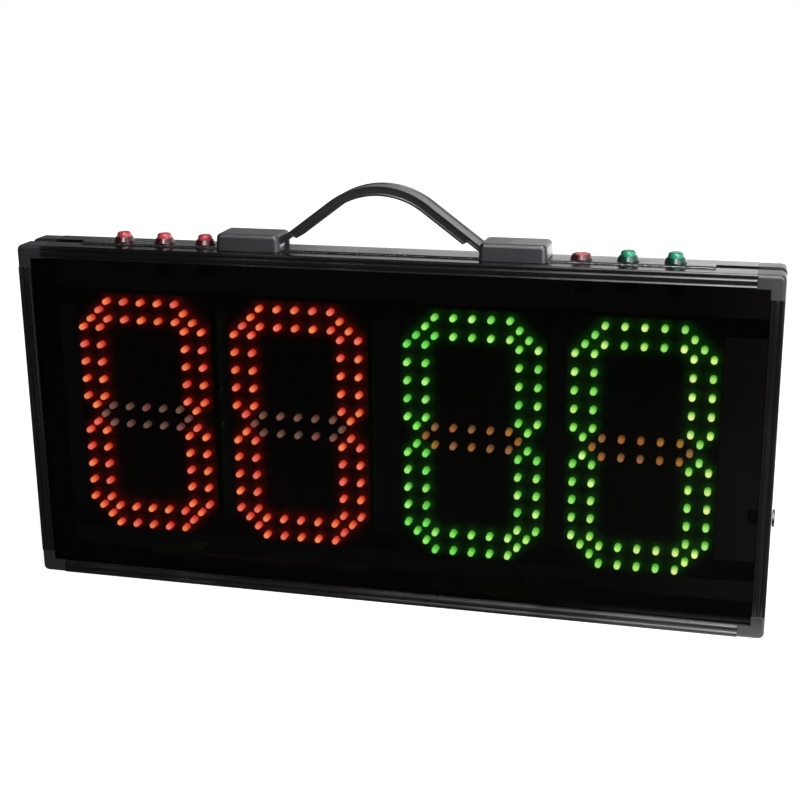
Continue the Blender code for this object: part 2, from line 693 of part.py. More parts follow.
def strap_section(thickness):
    """Outline of the strap as (y, depth under its top line), with a raised rim each side."""
    half = STRAP_WIDTH / 2
    edge = STRAP_RIM_HEIGHT
    return [
        (-half + edge, 0.0), (-half + STRAP_RIM, 0.0), (-half + STRAP_RIM + edge, edge),
        (half - STRAP_RIM - edge, edge), (half - STRAP_RIM, 0.0), (half - edge, 0.0),
        (half, edge), (half, thickness - edge), (half - edge, thickness),
        (-half + edge, thickness), (-half, thickness - edge), (-half, edge)]


def build_strap(parent):
    """Skin the moulded strap along its line and punch its two tails for the screws."""
    right = strap_line()
    left = [(-x, z, -t, thickness) for x, z, t, thickness in reversed(right)]
    rings = []
    for x, z, t, thickness in left + right[1:]:
        rings.append([
            (HANDLE_X + x - depth * math.sin(t), y, z - depth * math.cos(t))
            for y, depth in strap_section(thickness)])
    strap = add_piece("handle_strap", lofted(rings), SOFT_BLACK, parent)
    for side in (-1, 1):
        drill_down(strap, HANDLE_X + side * (HANDLE_CAP_INNER + SCREW_INNER), SCREW_HOLE, SCREW_SIDES)


def build_handle_ends(parent):
    """Fit each end of the handle: base plate, screws, nut plate and snap-on cover."""
    for side, word in ((-1, "left"), (1, "right")):
        centre = HANDLE_X + side * (HANDLE_CAP_INNER + HANDLE_CAP_LENGTH / 2)
        build_handle_cover(word, side, centre, parent)
        build_handle_base(word, centre, parent)
        build_nut_plate(word, side, parent)
    for number, x in enumerate(handle_screw_places(), start=1):
        from_cap = abs(x - HANDLE_X) - HANDLE_CAP_INNER
        seat = STRAP_TAIL_TOP if from_cap < STRAP_TAIL else BASE_TOP
        build_handle_screw(number, x, seat + CLEARANCE, parent)


def cover_shell(centre, half_x, half_y, corner, sections):
    """Skin a round-cornered block through sections of (inset, height), from the bottom up."""
    rings = []
    for inset, z in sections:
        outline = rounded_rectangle(half_x - inset, half_y - inset, corner, 2)
        rings.append([(centre + a, b, z) for a, b in outline])
    return lofted(rings)


def build_handle_cover(word, side, centre, parent):
    """Mould one hollow cover with tapered sides, a round top edge and a mouth for the strap."""
    half_x = HANDLE_CAP_LENGTH / 2
    half_y = HANDLE_CAP_DEPTH / 2
    low = TOP + CLEARANCE
    high = TOP + HANDLE_CAP_HEIGHT
    sections = (
        (0.0, low),
        (HANDLE_CAP_DRAFT, high - HANDLE_CAP_EDGE),
        (HANDLE_CAP_SHOULDER_INSET, high - HANDLE_CAP_SHOULDER_DROP),
        (HANDLE_CAP_BROW_INSET, high - HANDLE_CAP_BROW_DROP),
        (HANDLE_CAP_TOP_INSET, high))
    shell = cover_shell(centre, half_x, half_y, HANDLE_CAP_CORNER, sections)
    cover = add_piece(f"handle_cover_{word}", shell, SOFT_BLACK, parent)
    ceiling = high - HANDLE_CAP_WALL
    hollow = (
        (0.0, low - HANDLE_CAP_WALL),
        (HANDLE_CAP_DRAFT, high - HANDLE_CAP_EDGE),
        (HANDLE_CAP_SHOULDER_INSET, ceiling))
    cut = cover_shell(
        centre, half_x - HANDLE_CAP_WALL, half_y - HANDLE_CAP_WALL, HANDLE_CAP_INSIDE_CORNER, hollow)
    combine(cover, cut, "DIFFERENCE")
    mouth_y = STRAP_WIDTH / 2 + CLEARANCE
    ends = sorted((centre, centre - side * HANDLE_CAP_LENGTH))
    mouth = box(
        (ends[0], -mouth_y, low - HANDLE_CAP_WALL), (ends[1], mouth_y, ceiling - CLEARANCE))
    combine(cover, mouth, "DIFFERENCE")
    notch_y = STRIP_WIDTH / 2 + CLEARANCE
    ends = sorted((centre, centre + side * HANDLE_CAP_LENGTH))
    notch = box((ends[0], -notch_y, low - HANDLE_CAP_WALL), (ends[1], notch_y, BASE_BOTTOM))
    combine(cover, notch, "DIFFERENCE")


def build_handle_base(word, centre, parent):
    """Stamp the base plate that lies on the strip inside one cover."""
    edge = HANDLE_CAP_WALL + HANDLE_CAP_DRAFT + CLEARANCE
    half_x = HANDLE_CAP_LENGTH / 2 - edge
    half_y = HANDLE_CAP_DEPTH / 2 - edge
    outline = rounded_rectangle(half_x, half_y, HANDLE_CAP_INSIDE_CORNER, 1)
    bm = extruded(outline, BASE_BOTTOM, BASE_TOP, lambda a, b, z: (centre + a, b, z))
    base = add_piece(f"handle_base_{word}", bm, BRIGHT_METAL, parent)
    for x in handle_screw_places():
        if abs(x - centre) < half_x:
            drill_down(base, x, SCREW_HOLE, SCREW_SIDES)


def build_nut_plate(word, side, parent):
    """Stamp the threaded plate that takes two handle screws inside the top rail."""
    inner = HANDLE_X + side * (HANDLE_CAP_INNER + SCREW_INNER - NUT_PLATE_MARGIN)
    outer = HANDLE_X + side * (HANDLE_CAP_INNER + SCREW_OUTER + NUT_PLATE_MARGIN)
    low, high = sorted((inner, outer))
    half_y = NUT_PLATE_WIDTH / 2
    plate = add_piece(
        f"handle_nut_plate_{word}",
        box((low, -half_y, NUT_PLATE_BOTTOM), (high, half_y, NUT_PLATE_BOTTOM + NUT_PLATE_THICKNESS)),
        BRIGHT_METAL, parent)
    for x in handle_screw_places():
        if low < x < high:
            drill_down(plate, x, SCREW_HOLE, SCREW_SIDES)


def build_handle_screw(number, x, seat, parent):
    """Turn one round-headed screw from its seat down through the nut plate."""
    tip = NUT_PLATE_BOTTOM - SCREW_TIP - seat
    profile = [
        (0, tip),
        (SCREW_RADIUS - SCREW_TIP, tip),
        (SCREW_RADIUS, tip + SCREW_TIP),
        (SCREW_RADIUS, 0),
        (SCREW_HEAD_RADIUS, 0),
        (SCREW_HEAD_RADIUS, SCREW_HEAD_HEIGHT / 2),
        (SCREW_HEAD_RADIUS / 2, SCREW_HEAD_HEIGHT),
        (0, SCREW_HEAD_HEIGHT),
    ]
    bm = turned(profile, (x, 0, seat), (0, 0, 1), SCREW_SIDES)
    add_piece(f"handle_screw_{number}", bm, BRIGHT_METAL, parent, smooth=True)


def build_charging_socket(parent):
    """Fit the round charging socket, with its centre pin, and its nut in the right rail."""
    seat = FRAME_WIDTH / 2 + CLEARANCE
    edge = SOCKET_FLANGE_THICKNESS / 4
    profile = [
        (0, -SOCKET_BARREL_LENGTH),
        (SOCKET_BARREL_RADIUS, -SOCKET_BARREL_LENGTH),
        (SOCKET_BARREL_RADIUS, 0),
        (SOCKET_FLANGE_RADIUS, 0),
        (SOCKET_FLANGE_RADIUS, SOCKET_FLANGE_THICKNESS - edge),
        (SOCKET_FLANGE_RADIUS - edge, SOCKET_FLANGE_THICKNESS),
        (SOCKET_BORE_RADIUS, SOCKET_FLANGE_THICKNESS),
        (SOCKET_BORE_RADIUS, SOCKET_FLANGE_THICKNESS - SOCKET_BORE_DEPTH),
        (SOCKET_PIN_RADIUS, SOCKET_FLANGE_THICKNESS - SOCKET_BORE_DEPTH),
        (SOCKET_PIN_RADIUS, SOCKET_FLANGE_THICKNESS - SOCKET_PIN_RECESS),
        (0, SOCKET_FLANGE_THICKNESS - SOCKET_PIN_RECESS),
    ]
    bm = turned(profile, (seat, 0, SOCKET_Z), (1, 0, 0), SOCKET_SIDES)
    add_piece("charging_socket", bm, SOCKET_BLACK, parent, smooth=True)
    outer = FRAME_WIDTH / 2 - FLOOR_INSET - CLEARANCE
    inner = outer - SOCKET_NUT_HEIGHT
    corner = SOCKET_NUT_FLATS / 2 / math.cos(math.pi / 6)
    nut = add_piece(
        "charging_socket_nut",
        cylinder((inner, 0, SOCKET_Z), (outer, 0, SOCKET_Z), corner, 6), BRIGHT_METAL, parent)
    hole = cylinder(
        (inner - SOCKET_NUT_HEIGHT, 0, SOCKET_Z), (outer + SOCKET_NUT_HEIGHT, 0, SOCKET_Z),
        SOCKET_BARREL_RADIUS + CLEARANCE, SOCKET_SIDES)
    combine(nut, hole, "DIFFERENCE")


def build_battery(parent):
    """Lay the wrapped row of cells on the bottom rail, under two sheet-metal clips."""
    radius = BATTERY_DIAMETER / 2
    corner = min(BATTERY_CORNER, radius * ROUNDING_LIMIT)
    start = BATTERY_X - BATTERY_LENGTH / 2
    bm = extruded(
        rounded_rectangle(radius, radius, corner, 4), start, start + BATTERY_LENGTH,
        lambda y, z, s: (s, y, BATTERY_FLOOR + radius + z))
    add_piece("battery_pack", bm, BATTERY_WRAP, parent)
    inner = radius + CLEARANCE
    outer = inner + BATTERY_CLIP_SHEET
    foot = outer + BATTERY_CLIP_FOOT
    base = PROFILE_WALL + CLEARANCE
    top = BATTERY_CEILING + CLEARANCE
    half = [(foot, base), (foot, base + BATTERY_CLIP_SHEET), (outer, base + BATTERY_CLIP_SHEET),
            (outer, top + BATTERY_CLIP_SHEET)]
    under = [(inner, top), (inner, base)]
    outline = half + [(-y, z) for y, z in reversed(half)]
    outline += [(-y, z) for y, z in reversed(under)] + under
    for word, side in (("left", -1), ("right", 1)):
        x = BATTERY_X + side * (BATTERY_LENGTH / 2 - BATTERY_CLIP_INSET)
        clip = extruded(
            outline, x - BATTERY_CLIP_LENGTH / 2, x + BATTERY_CLIP_LENGTH / 2,
            lambda y, z, s: (s, y, z))
        add_piece(f"battery_clip_{word}", clip, BRIGHT_METAL, parent)


def build_controller(parent):
    """Stand the controller board on the bottom rail on four legs, with its main components."""
    low_x = CONTROLLER_X - CONTROLLER_LENGTH / 2
    high_x = CONTROLLER_X + CONTROLLER_LENGTH / 2
    half_y = CONTROLLER_DEPTH / 2
    bottom = FLOOR_INSET + CONTROLLER_STANDOFF
    top = bottom + BOARD_THICKNESS
    board = add_piece(
        "controller_board", box((low_x, -half_y, bottom), (high_x, half_y, top)), CIRCUIT_BOARD,
        parent)
    leg = CONTROLLER_LEG
    for x in (low_x, high_x - leg):
        for y in (-half_y, half_y - leg):
            post = box((x, y, PROFILE_WALL + CLEARANCE), (x + leg, y + leg, bottom + BOARD_THICKNESS / 2))
            combine(board, post, "UNION")
    root = top - BOARD_THICKNESS / 2
    blocks = (
        (CONVERTER_X, 0.0, CONVERTER_LENGTH, CONVERTER_DEPTH, CONVERTER_HEIGHT),
        (CHIP_X, 0.0, CHIP_LENGTH, CHIP_DEPTH, CHIP_HEIGHT),
        (PLUG_X, PLUG_Y, PLUG_LENGTH, PLUG_DEPTH, PLUG_HEIGHT),
        (TERMINAL_X, TERMINAL_Y, TERMINAL_LENGTH, TERMINAL_DEPTH, TERMINAL_HEIGHT))
    for shift_x, y, length, depth, height in blocks:
        x = CONTROLLER_X + shift_x
        block = box(
            (x - length / 2, y - depth / 2, root), (x + length / 2, y + depth / 2, top + height))
        combine(board, block, "UNION")
    for shift_x in (CAN_X, CAN_X + CAN_SPACING):
        x = CONTROLLER_X + shift_x
        can = cylinder((x, CAN_Y, root), (x, CAN_Y, top + CAN_HEIGHT), CAN_RADIUS, CAN_SIDES)
        combine(board, can, "UNION")


def main():
    """Build the whole board, one sub-assembly after another."""
    clear_scene()
    board = add_group("substitution_board")
    frame = add_group("frame_parts", board)
    build_rails(frame)
    build_corner_caps(frame)
    build_strip(frame)
    display = add_group("display_parts", board)
    build_panels(display)
    build_digit_boards(display)
    build_bars(display)
    power = add_group("power_parts", board)
    build_charging_socket(power)
    build_battery(power)
    build_controller(power)
    handle = add_group("handle_parts", board)
    build_strap(handle)
    build_handle_ends(handle)
    controls = add_group("control_parts", board)
    build_switches(controls)


main()
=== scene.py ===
"""Looks of an electronic substitution board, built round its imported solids.

All places and sizes are in metres. The width runs along X, the front faces -Y and the
height runs along Z. Each sub-assembly is a class that builds its pieces and dresses them.
"""
import logging
import math
import random
from contextlib import contextmanager
from dataclasses import dataclass
from enum import Enum
from functools import cache, reduce
from typing import Callable, Iterator, Sequence

import bmesh
import bpy
import numpy as np
from mathutils import Matrix, Vector


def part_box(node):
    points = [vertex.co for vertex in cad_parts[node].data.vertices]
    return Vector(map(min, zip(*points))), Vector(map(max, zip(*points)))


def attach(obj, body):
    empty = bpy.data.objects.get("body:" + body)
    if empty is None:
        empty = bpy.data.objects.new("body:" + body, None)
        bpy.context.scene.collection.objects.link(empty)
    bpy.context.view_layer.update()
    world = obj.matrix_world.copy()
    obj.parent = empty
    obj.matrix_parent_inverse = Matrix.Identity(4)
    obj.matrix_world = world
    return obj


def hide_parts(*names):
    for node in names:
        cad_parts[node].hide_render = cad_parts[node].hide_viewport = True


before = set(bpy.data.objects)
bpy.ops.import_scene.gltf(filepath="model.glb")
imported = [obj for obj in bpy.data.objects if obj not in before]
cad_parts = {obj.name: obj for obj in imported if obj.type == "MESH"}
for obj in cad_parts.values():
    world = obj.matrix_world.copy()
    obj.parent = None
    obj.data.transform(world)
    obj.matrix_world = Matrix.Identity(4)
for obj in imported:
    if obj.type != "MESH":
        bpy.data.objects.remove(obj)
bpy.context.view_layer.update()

LOG = logging.getLogger("substitution_board")
Colour = tuple[float, float, float]
Point = tuple[float, float, float]
Socket = bpy.types.NodeSocket
Sockets = bpy.types.bpy_prop_collection
BOARD_BODY = "board"
UP = Vector((0.0, 0.0, 1.0))
ORIGIN = (0.0, 0.0, 0.0)
WELD = 1e-6
NEAR = WELD * 20
FLAT = math.radians(0.5)


class Pick(Enum):
    """What a selection on a piece holds."""

    CORNERS = "VERT"
    EDGES = "EDGE"
    FACES = "FACE"


class Light(Enum):
    """Which colour a digit's lamps give."""

    RED = "red"
    GREEN = "green"


def clear_bench() -> None:
    """Leave edit mode and deselect everything."""
    if bpy.context.object and bpy.context.object.mode != "OBJECT":
        bpy.ops.object.mode_set(mode="OBJECT")
    bpy.ops.object.select_all(action="DESELECT")


def bring_in(name: str, data: bpy.types.ID | None) -> bpy.types.Object:
    """Bring a mesh, a lamp, a camera or an empty helper into the scene.

    Args:
        name: The object's name.
        data: What the object shows, or nothing for a helper.

    Returns:
        The new object.
    """
    obj = bpy.data.objects.new(name, data)
    bpy.context.scene.collection.objects.link(obj)
    return obj


class Workpiece:
    """One piece on the bench: shaped with hand tools, then finished, dressed and mounted."""

    def __init__(self, obj: bpy.types.Object, name: str) -> None:
        """Take an object as it stands and name it and its mesh.

        Args:
            obj: The object.
            name: The piece's name.
        """
        obj.name = name
        obj.data.name = name
        self.obj = obj

    @classmethod
    def placed(cls, name: str) -> "Workpiece":
        """Take the primitive that was just added and put its place into its mesh.

        Args:
            name: The piece's name.

        Returns:
            The new workpiece.
        """
        piece = cls(bpy.context.object, name)
        piece.settle()
        return piece

    @classmethod
    def block(cls, name: str, low: Sequence[float], high: Sequence[float]) -> "Workpiece":
        """Start from a block.

        Args:
            name: The piece's name.
            low: Its lowest corner.
            high: Its highest corner.

        Returns:
            The new workpiece.
        """
        clear_bench()
        bpy.ops.mesh.primitive_cube_add(
            size=1.0, location=(Vector(low) + Vector(high)) / 2, scale=Vector(high) - Vector(low))
        return cls.placed(name)

    @classmethod
    def turned(cls, name: str, centre: Sequence[float], sides: int,
               rings: Sequence[tuple[float, float]]) -> "Workpiece":
        """Turn a piece as on a lathe: a disc is drawn up and in or out, ring after ring.

        Args:
            name: The piece's name.
            centre: The centre of its foot.
            sides: How many sides stand for the circle.
            rings: The (radius, height) of each ring, from the foot on.

        Returns:
            The new workpiece.
        """
        clear_bench()
        radius, height = rings[0]
        bpy.ops.mesh.primitive_circle_add(
            vertices=sides, radius=radius, fill_type="NGON", location=centre)
        piece = cls.placed(name)
        with piece.editing():
            bpy.ops.mesh.select_all(action="SELECT")
            for next_radius, next_height in rings[1:]:
                piece.push((0.0, 0.0, next_height - height))
                share = next_radius / radius
                bpy.ops.transform.resize(
                    value=(share, share, 1.0),
                    center_override=(centre[0], centre[1], centre[2] + next_height))
                radius, height = next_radius, next_height
        piece.weld()
        return piece

    @classmethod
    def sheet(cls, name: str, low: Sequence[float], high: Sequence[float],
              cells: tuple[int, int]) -> "Workpiece":
        """Start from a flat grid that lies in X and Z.

        Args:
            name: The piece's name.
            low: Its lowest corner.
            high: Its highest corner, with the same Y.
            cells: How many cells it has along X and along Z.

        Returns:
            The new workpiece.
        """
        clear_bench()
        size = Vector(high) - Vector(low)
        bpy.ops.mesh.primitive_grid_add(
            x_subdivisions=cells[0], y_subdivisions=cells[1], size=1.0,
            location=(Vector(low) + Vector(high)) / 2, rotation=(math.pi / 2, 0.0, 0.0))
        bpy.context.object.scale = (size.x, size.z, 1.0)
        return cls.placed(name)

    @classmethod
    def copy_of(cls, node: str, name: str) -> "Workpiece":
        """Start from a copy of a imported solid, its loose triangles welded.

        Args:
            node: The solid's node.
            name: The piece's name.

        Returns:
            The new workpiece.
        """
        clear_bench()
        obj = bring_in(name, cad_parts[node].data.copy())
        obj.data.materials.clear()
        piece = cls(obj, name)
        piece.weld(flatten=True)
        return piece

    def take(self) -> None:
        """Leave edit mode and select this piece alone."""
        clear_bench()
        self.obj.select_set(True)
        bpy.context.view_layer.objects.active = self.obj

    @contextmanager
    def editing(self) -> Iterator[None]:
        """Hold the piece in edit mode, with nothing else selected.

        Returns:
            A hold that lasts as long as its with block.
        """
        self.take()
        bpy.ops.object.mode_set(mode="EDIT")
        yield
        bpy.ops.object.mode_set(mode="OBJECT")

    def settle(self) -> None:
        """Put the piece's place, turn and size into its mesh."""
        self.take()
        bpy.ops.object.transform_apply(location=True, rotation=True, scale=True)

    def pick(self, kind: Pick, test: Callable[[Vector, Vector], bool]) -> None:
        """Select corners, edges or faces in edit mode.

        Args:
            kind: What to select.
            test: Says yes to a place and a direction: an edge's run, or else a normal.
        """
        bpy.ops.mesh.select_mode(type=kind.value)
        bpy.ops.mesh.select_all(action="DESELECT")
        shape = bmesh.from_edit_mesh(self.obj.data)
        if kind is Pick.CORNERS:
            found = [(v, v.co, v.normal) for v in shape.verts]
        elif kind is Pick.EDGES:
            found = [(e, (e.verts[0].co + e.verts[1].co) / 2,
                      (e.verts[1].co - e.verts[0].co).normalized()) for e in shape.edges]
        else:
            found = [(f, f.calc_center_median(), f.normal) for f in shape.faces]
        for item, place, direction in found:
            if test(place, direction):
                item.select_set(True)
        shape.select_flush_mode()
        bmesh.update_edit_mesh(self.obj.data)

    def shift(self, by: Sequence[float], test: Callable[[Vector], bool]) -> None:
        """Move the corners whose place passes a test, in edit mode."""
        self.pick(Pick.CORNERS, lambda place, normal: test(place))
        bpy.ops.transform.translate(value=by)

    def push(self, by: Sequence[float]) -> None:
        """Extrude the selected faces by a shift."""
        bpy.ops.mesh.extrude_region_move(TRANSFORM_OT_translate={"value": tuple(by)})

    def cut(self, low: Sequence[float], high: Sequence[float], corner: float = 0.0) -> None:
        """Cut a block-shaped room out of the piece.

        Args:
            low: The room's lowest corner.
            high: Its highest corner.
            corner: How far its edges are rounded.
        """
        cutter = Workpiece.block("cutter", low, high)
        if corner:
            cutter.ease(corner, segments=4)
        self.modify("BOOLEAN", operation="DIFFERENCE", solver="EXACT", object=cutter.obj)
        bpy.data.objects.remove(cutter.obj, do_unlink=True)

    def modify(self, kind: str, **settings: object) -> None:
        """Add one modifier with its settings and apply it.

        Args:
            kind: The modifier's type.
            settings: Its settings, by name.
        """
        self.take()
        step = self.obj.modifiers.new("step", kind)
        for key, value in settings.items():
            setattr(step, key, value)
        bpy.ops.object.modifier_apply(modifier=step.name)

    def ease(self, width: float, angle: float = 50.0, segments: int = 2) -> None:
        """Round every edge that is sharper than an angle.

        Args:
            width: The rounding's width.
            angle: The least angle that counts as sharp, in degrees.
            segments: How many steps the rounding has.
        """
        self.modify("BEVEL", width=width, segments=segments, limit_method="ANGLE",
                    angle_limit=math.radians(angle), use_clamp_overlap=True,
                    harden_normals=False)

    def smooth(self, angle: float) -> None:
        """Shade faces smooth under an angle in degrees, but keep broad flats flat.

        Args:
            angle: The angle, in degrees.
        """
        self.take()
        bpy.ops.object.shade_smooth_by_angle(angle=math.radians(angle))
        self.modify("WEIGHTED_NORMAL", mode="FACE_AREA", weight=50, keep_sharp=True)

    def span(self) -> tuple[Vector, Vector]:
        """Give the lowest and the highest corner of the piece's box."""
        corners = np.array([v.co for v in self.obj.data.vertices])
        return Vector(corners.min(axis=0)), Vector(corners.max(axis=0))

    def weld(self, flatten: bool = False) -> None:
        """Merge doubled corners, on request also flat faces, and turn all faces outwards.

        Args:
            flatten: Whether faces that lie in one plane become one.
        """
        with self.editing():
            bpy.ops.mesh.select_all(action="SELECT")
            bpy.ops.mesh.remove_doubles(threshold=WELD)
            if flatten:
                bpy.ops.mesh.dissolve_limited(angle_limit=FLAT)
            bpy.ops.mesh.normals_make_consistent(inside=False)

    def paint_corners(self, name: str, colours: np.ndarray) -> None:
        """Store one colour for each corner of the mesh, for its material to read.

        Args:
            name: The name that the material reads.
            colours: One colour for each corner.
        """
        layer = self.obj.data.attributes.new(name, "FLOAT_COLOR", "POINT")
        alpha = np.ones((len(colours), 1))
        layer.data.foreach_set("color", np.hstack([colours, alpha]).astype(np.float32).ravel())

    def hand_over(self, finish: "Finish", body: str, node: str, angle: float = 0.0) -> None:
        """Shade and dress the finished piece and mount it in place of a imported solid.

        Args:
            finish: What it is dressed in.
            body: The body that it rides on.
            node: The solid's node.
            angle: The angle under which its faces are shaded smooth, if any, in degrees.
        """
        if angle:
            self.smooth(angle)
        self.obj.data.materials.clear()
        self.obj.data.materials.append(finish.material())
        clear_bench()
        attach(self.obj, body)
        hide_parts(node)
        LOG.info("%s: %d faces", self.obj.name, len(self.obj.data.polygons))


def paint(finish: "Finish", *nodes: str) -> None:
    """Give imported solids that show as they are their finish.

    Args:
        finish: What they are dressed in.
        nodes: The solids' nodes.
    """
    for node in nodes:
        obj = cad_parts[node]
        obj.material_slots[0].material = finish.material()
        LOG.info("%s: painted", node)


class Graph:
    """Lays nodes into a material or a group and wires them."""

    def __init__(self, tree: bpy.types.NodeTree) -> None:
        """Work on one node tree."""
        self.tree = tree

    def node(self, kind: str, inputs: dict | None = None, **settings: object) -> bpy.types.Node:
        """Add one node.

        Args:
            kind: The node's type.
            inputs: A value or an output socket for each input, by name or place.
            settings: The node's own settings.

        Returns:
            The new node.
        """
        node = self.tree.nodes.new(kind)
        for key, value in settings.items():
            setattr(node, key, value)
        self.feed(node, inputs or {})
        return node

    def feed(self, node: bpy.types.Node, inputs: dict) -> None:
        """Set or link a node's inputs, by name or place.

        Args:
            node: The node.
            inputs: A value or an output socket for each input.
        """
        for key, value in inputs.items():
            if isinstance(value, Socket):
                self.tree.links.new(value, node.inputs[key])
            else:
                node.inputs[key].default_value = value

    def math(self, operation: str, first: object, second: object = 0.0) -> Socket:
        """Work out one value from two."""
        return self.node("ShaderNodeMath", {0: first, 1: second}, operation=operation).outputs[0]

    def times(self, *values: object) -> Socket:
        """Multiply several values."""
        return reduce(lambda first, second: self.math("MULTIPLY", first, second), values)

    def mix(self, share: object, first: object, second: object) -> Socket:
        """Mix two colours by a share."""
        return self.node(
            "ShaderNodeMix", {0: share, 6: first, 7: second}, data_type="RGBA").outputs[2]

    def spread(self, value: Socket, low: float, high: float, to_low: float = 0.0,
               to_high: float = 1.0) -> Socket:
        """Map a value from one range to another, smoothly and no further.

        Args:
            value: The value.
            low: The start of its range.
            high: The end of its range.
            to_low: The start of the range that it is mapped to.
            to_high: The end of that range.

        Returns:
            The mapped value.
        """
        return self.node(
            "ShaderNodeMapRange", {0: value, 1: low, 2: high, 3: to_low, 4: to_high},
            interpolation_type="SMOOTHSTEP").outputs[0]

    def place(self) -> Socket:
        """Give the place on the piece, in its own coordinates."""
        return self.node("ShaderNodeTexCoord").outputs["Object"]

    def normal(self) -> Socket:
        """Give the direction that the surface looks in."""
        return self.node("ShaderNodeNewGeometry").outputs["Normal"]

    def axes(self, value: Socket) -> Sockets:
        """Give the X, Y and Z of a place or a direction."""
        return self.node("ShaderNodeSeparateXYZ", {0: value}).outputs

    def grey(self, value: Socket) -> Socket:
        """Turn one value into a grey."""
        return self.node("ShaderNodeCombineXYZ", {0: value, 1: value, 2: value}).outputs[0]

    def stored(self, name: str) -> Socket:
        """Give the colour that is stored on the piece's corners under a name."""
        return self.node("ShaderNodeAttribute", attribute_name=name).outputs["Color"]

    def group(self, tree: bpy.types.NodeTree, inputs: dict) -> Sockets:
        """Place a shared group and give its outputs."""
        return self.node("ShaderNodeGroup", inputs, node_tree=tree).outputs

    def sight(self) -> tuple[Socket, Socket]:
        """Give two masks: what is seen straight or through glass, and what is mirrored.

        Returns:
            The two masks, in that order.
        """
        path = self.node("ShaderNodeLightPath").outputs
        straight = self.math("MAXIMUM", path["Is Camera Ray"], path["Is Transmission Ray"])
        return straight, path["Is Glossy Ray"]

    def noise(self, place: Socket, scale: object, detail: float = 2.0) -> Socket:
        """Give a cloudy value that changes with place.

        Args:
            place: The place.
            scale: How small the clouds are.
            detail: How much finer structure they have.

        Returns:
            A value between 0 and 1.
        """
        return self.node(
            "ShaderNodeTexNoise", {"Vector": place, "Scale": scale, "Detail": detail}
        ).outputs["Fac"]


class Effects:
    """Shader groups that several finishes share, each built once."""

    @staticmethod
    def start(name: str, inputs: dict[str, float],
              outputs: Sequence[str]) -> tuple[Graph, Sockets, bpy.types.Node]:
        """Open a new group.

        Args:
            name: The group's name.
            inputs: Its inputs and what each is at first.
            outputs: Its outputs, all plain values.

        Returns:
            The graph, what the group is given and the node that takes its results.
        """
        tree = bpy.data.node_groups.new(name, "ShaderNodeTree")
        for label, value in inputs.items():
            tree.interface.new_socket(
                name=label, in_out="INPUT", socket_type="NodeSocketFloat").default_value = value
        for label in outputs:
            tree.interface.new_socket(name=label, in_out="OUTPUT", socket_type="NodeSocketFloat")
        graph = Graph(tree)
        return graph, graph.node("NodeGroupInput").outputs, graph.node("NodeGroupOutput")

    @staticmethod
    @cache
    def grain() -> bpy.types.NodeTree:
        """Skin of a surface: fine height, slow mottling and hand smudges.

        Returns:
            The group.
        """
        graph, given, end = Effects.start(
            "surface_grain", {"Scale": 900.0}, ("Height", "Mottle", "Smudge"))
        place = graph.place()
        graph.feed(end, {
            "Height": graph.noise(place, given["Scale"], 3.0),
            "Mottle": graph.noise(place, graph.times(given["Scale"], 0.06), 4.0),
            "Smudge": graph.spread(graph.noise(place, 14.0, 5.0), 0.35, 0.7)})
        return graph.tree

    @staticmethod
    @cache
    def wear() -> bpy.types.NodeTree:
        """Mask of rubbed edges: strongest on sharp edges, broken up along them.

        Returns:
            The group.
        """
        graph, given, end = Effects.start(
            "edge_wear", {"Radius": 0.0006, "Amount": 0.5}, ("Mask",))
        rounded = graph.node("ShaderNodeBevel", {"Radius": given["Radius"]}, samples=4).outputs[0]
        likeness = graph.node(
            "ShaderNodeVectorMath", {0: rounded, 1: graph.normal()},
            operation="DOT_PRODUCT").outputs["Value"]
        edge = graph.spread(graph.math("SUBTRACT", 1.0, likeness), 0.02, 0.22)
        broken = graph.spread(graph.noise(graph.place(), 420.0, 4.0), 0.42, 0.68)
        graph.feed(end, {"Mask": graph.times(edge, broken, given["Amount"])})
        return graph.tree

    @staticmethod
    @cache
    def dust() -> bpy.types.NodeTree:
        """Mask of fine dust: thin, and only where a surface looks up.

        Returns:
            The group.
        """
        graph, given, end = Effects.start("dust_film", {"Amount": 0.1}, ("Mask",))
        lying = graph.spread(graph.axes(graph.normal())["Z"], 0.3, 1.0)
        specks = graph.spread(graph.noise(graph.place(), 260.0, 6.0), 0.45, 0.75)
        graph.feed(end, {"Mask": graph.times(lying, specks, given["Amount"])})
        return graph.tree


def rgba(colour: Colour, share: float = 1.0) -> tuple[float, float, float, float]:
    """Give a colour with full alpha, made darker or lighter by a share."""
    return tuple(min(1.0, part * share) for part in colour) + (1.0,)


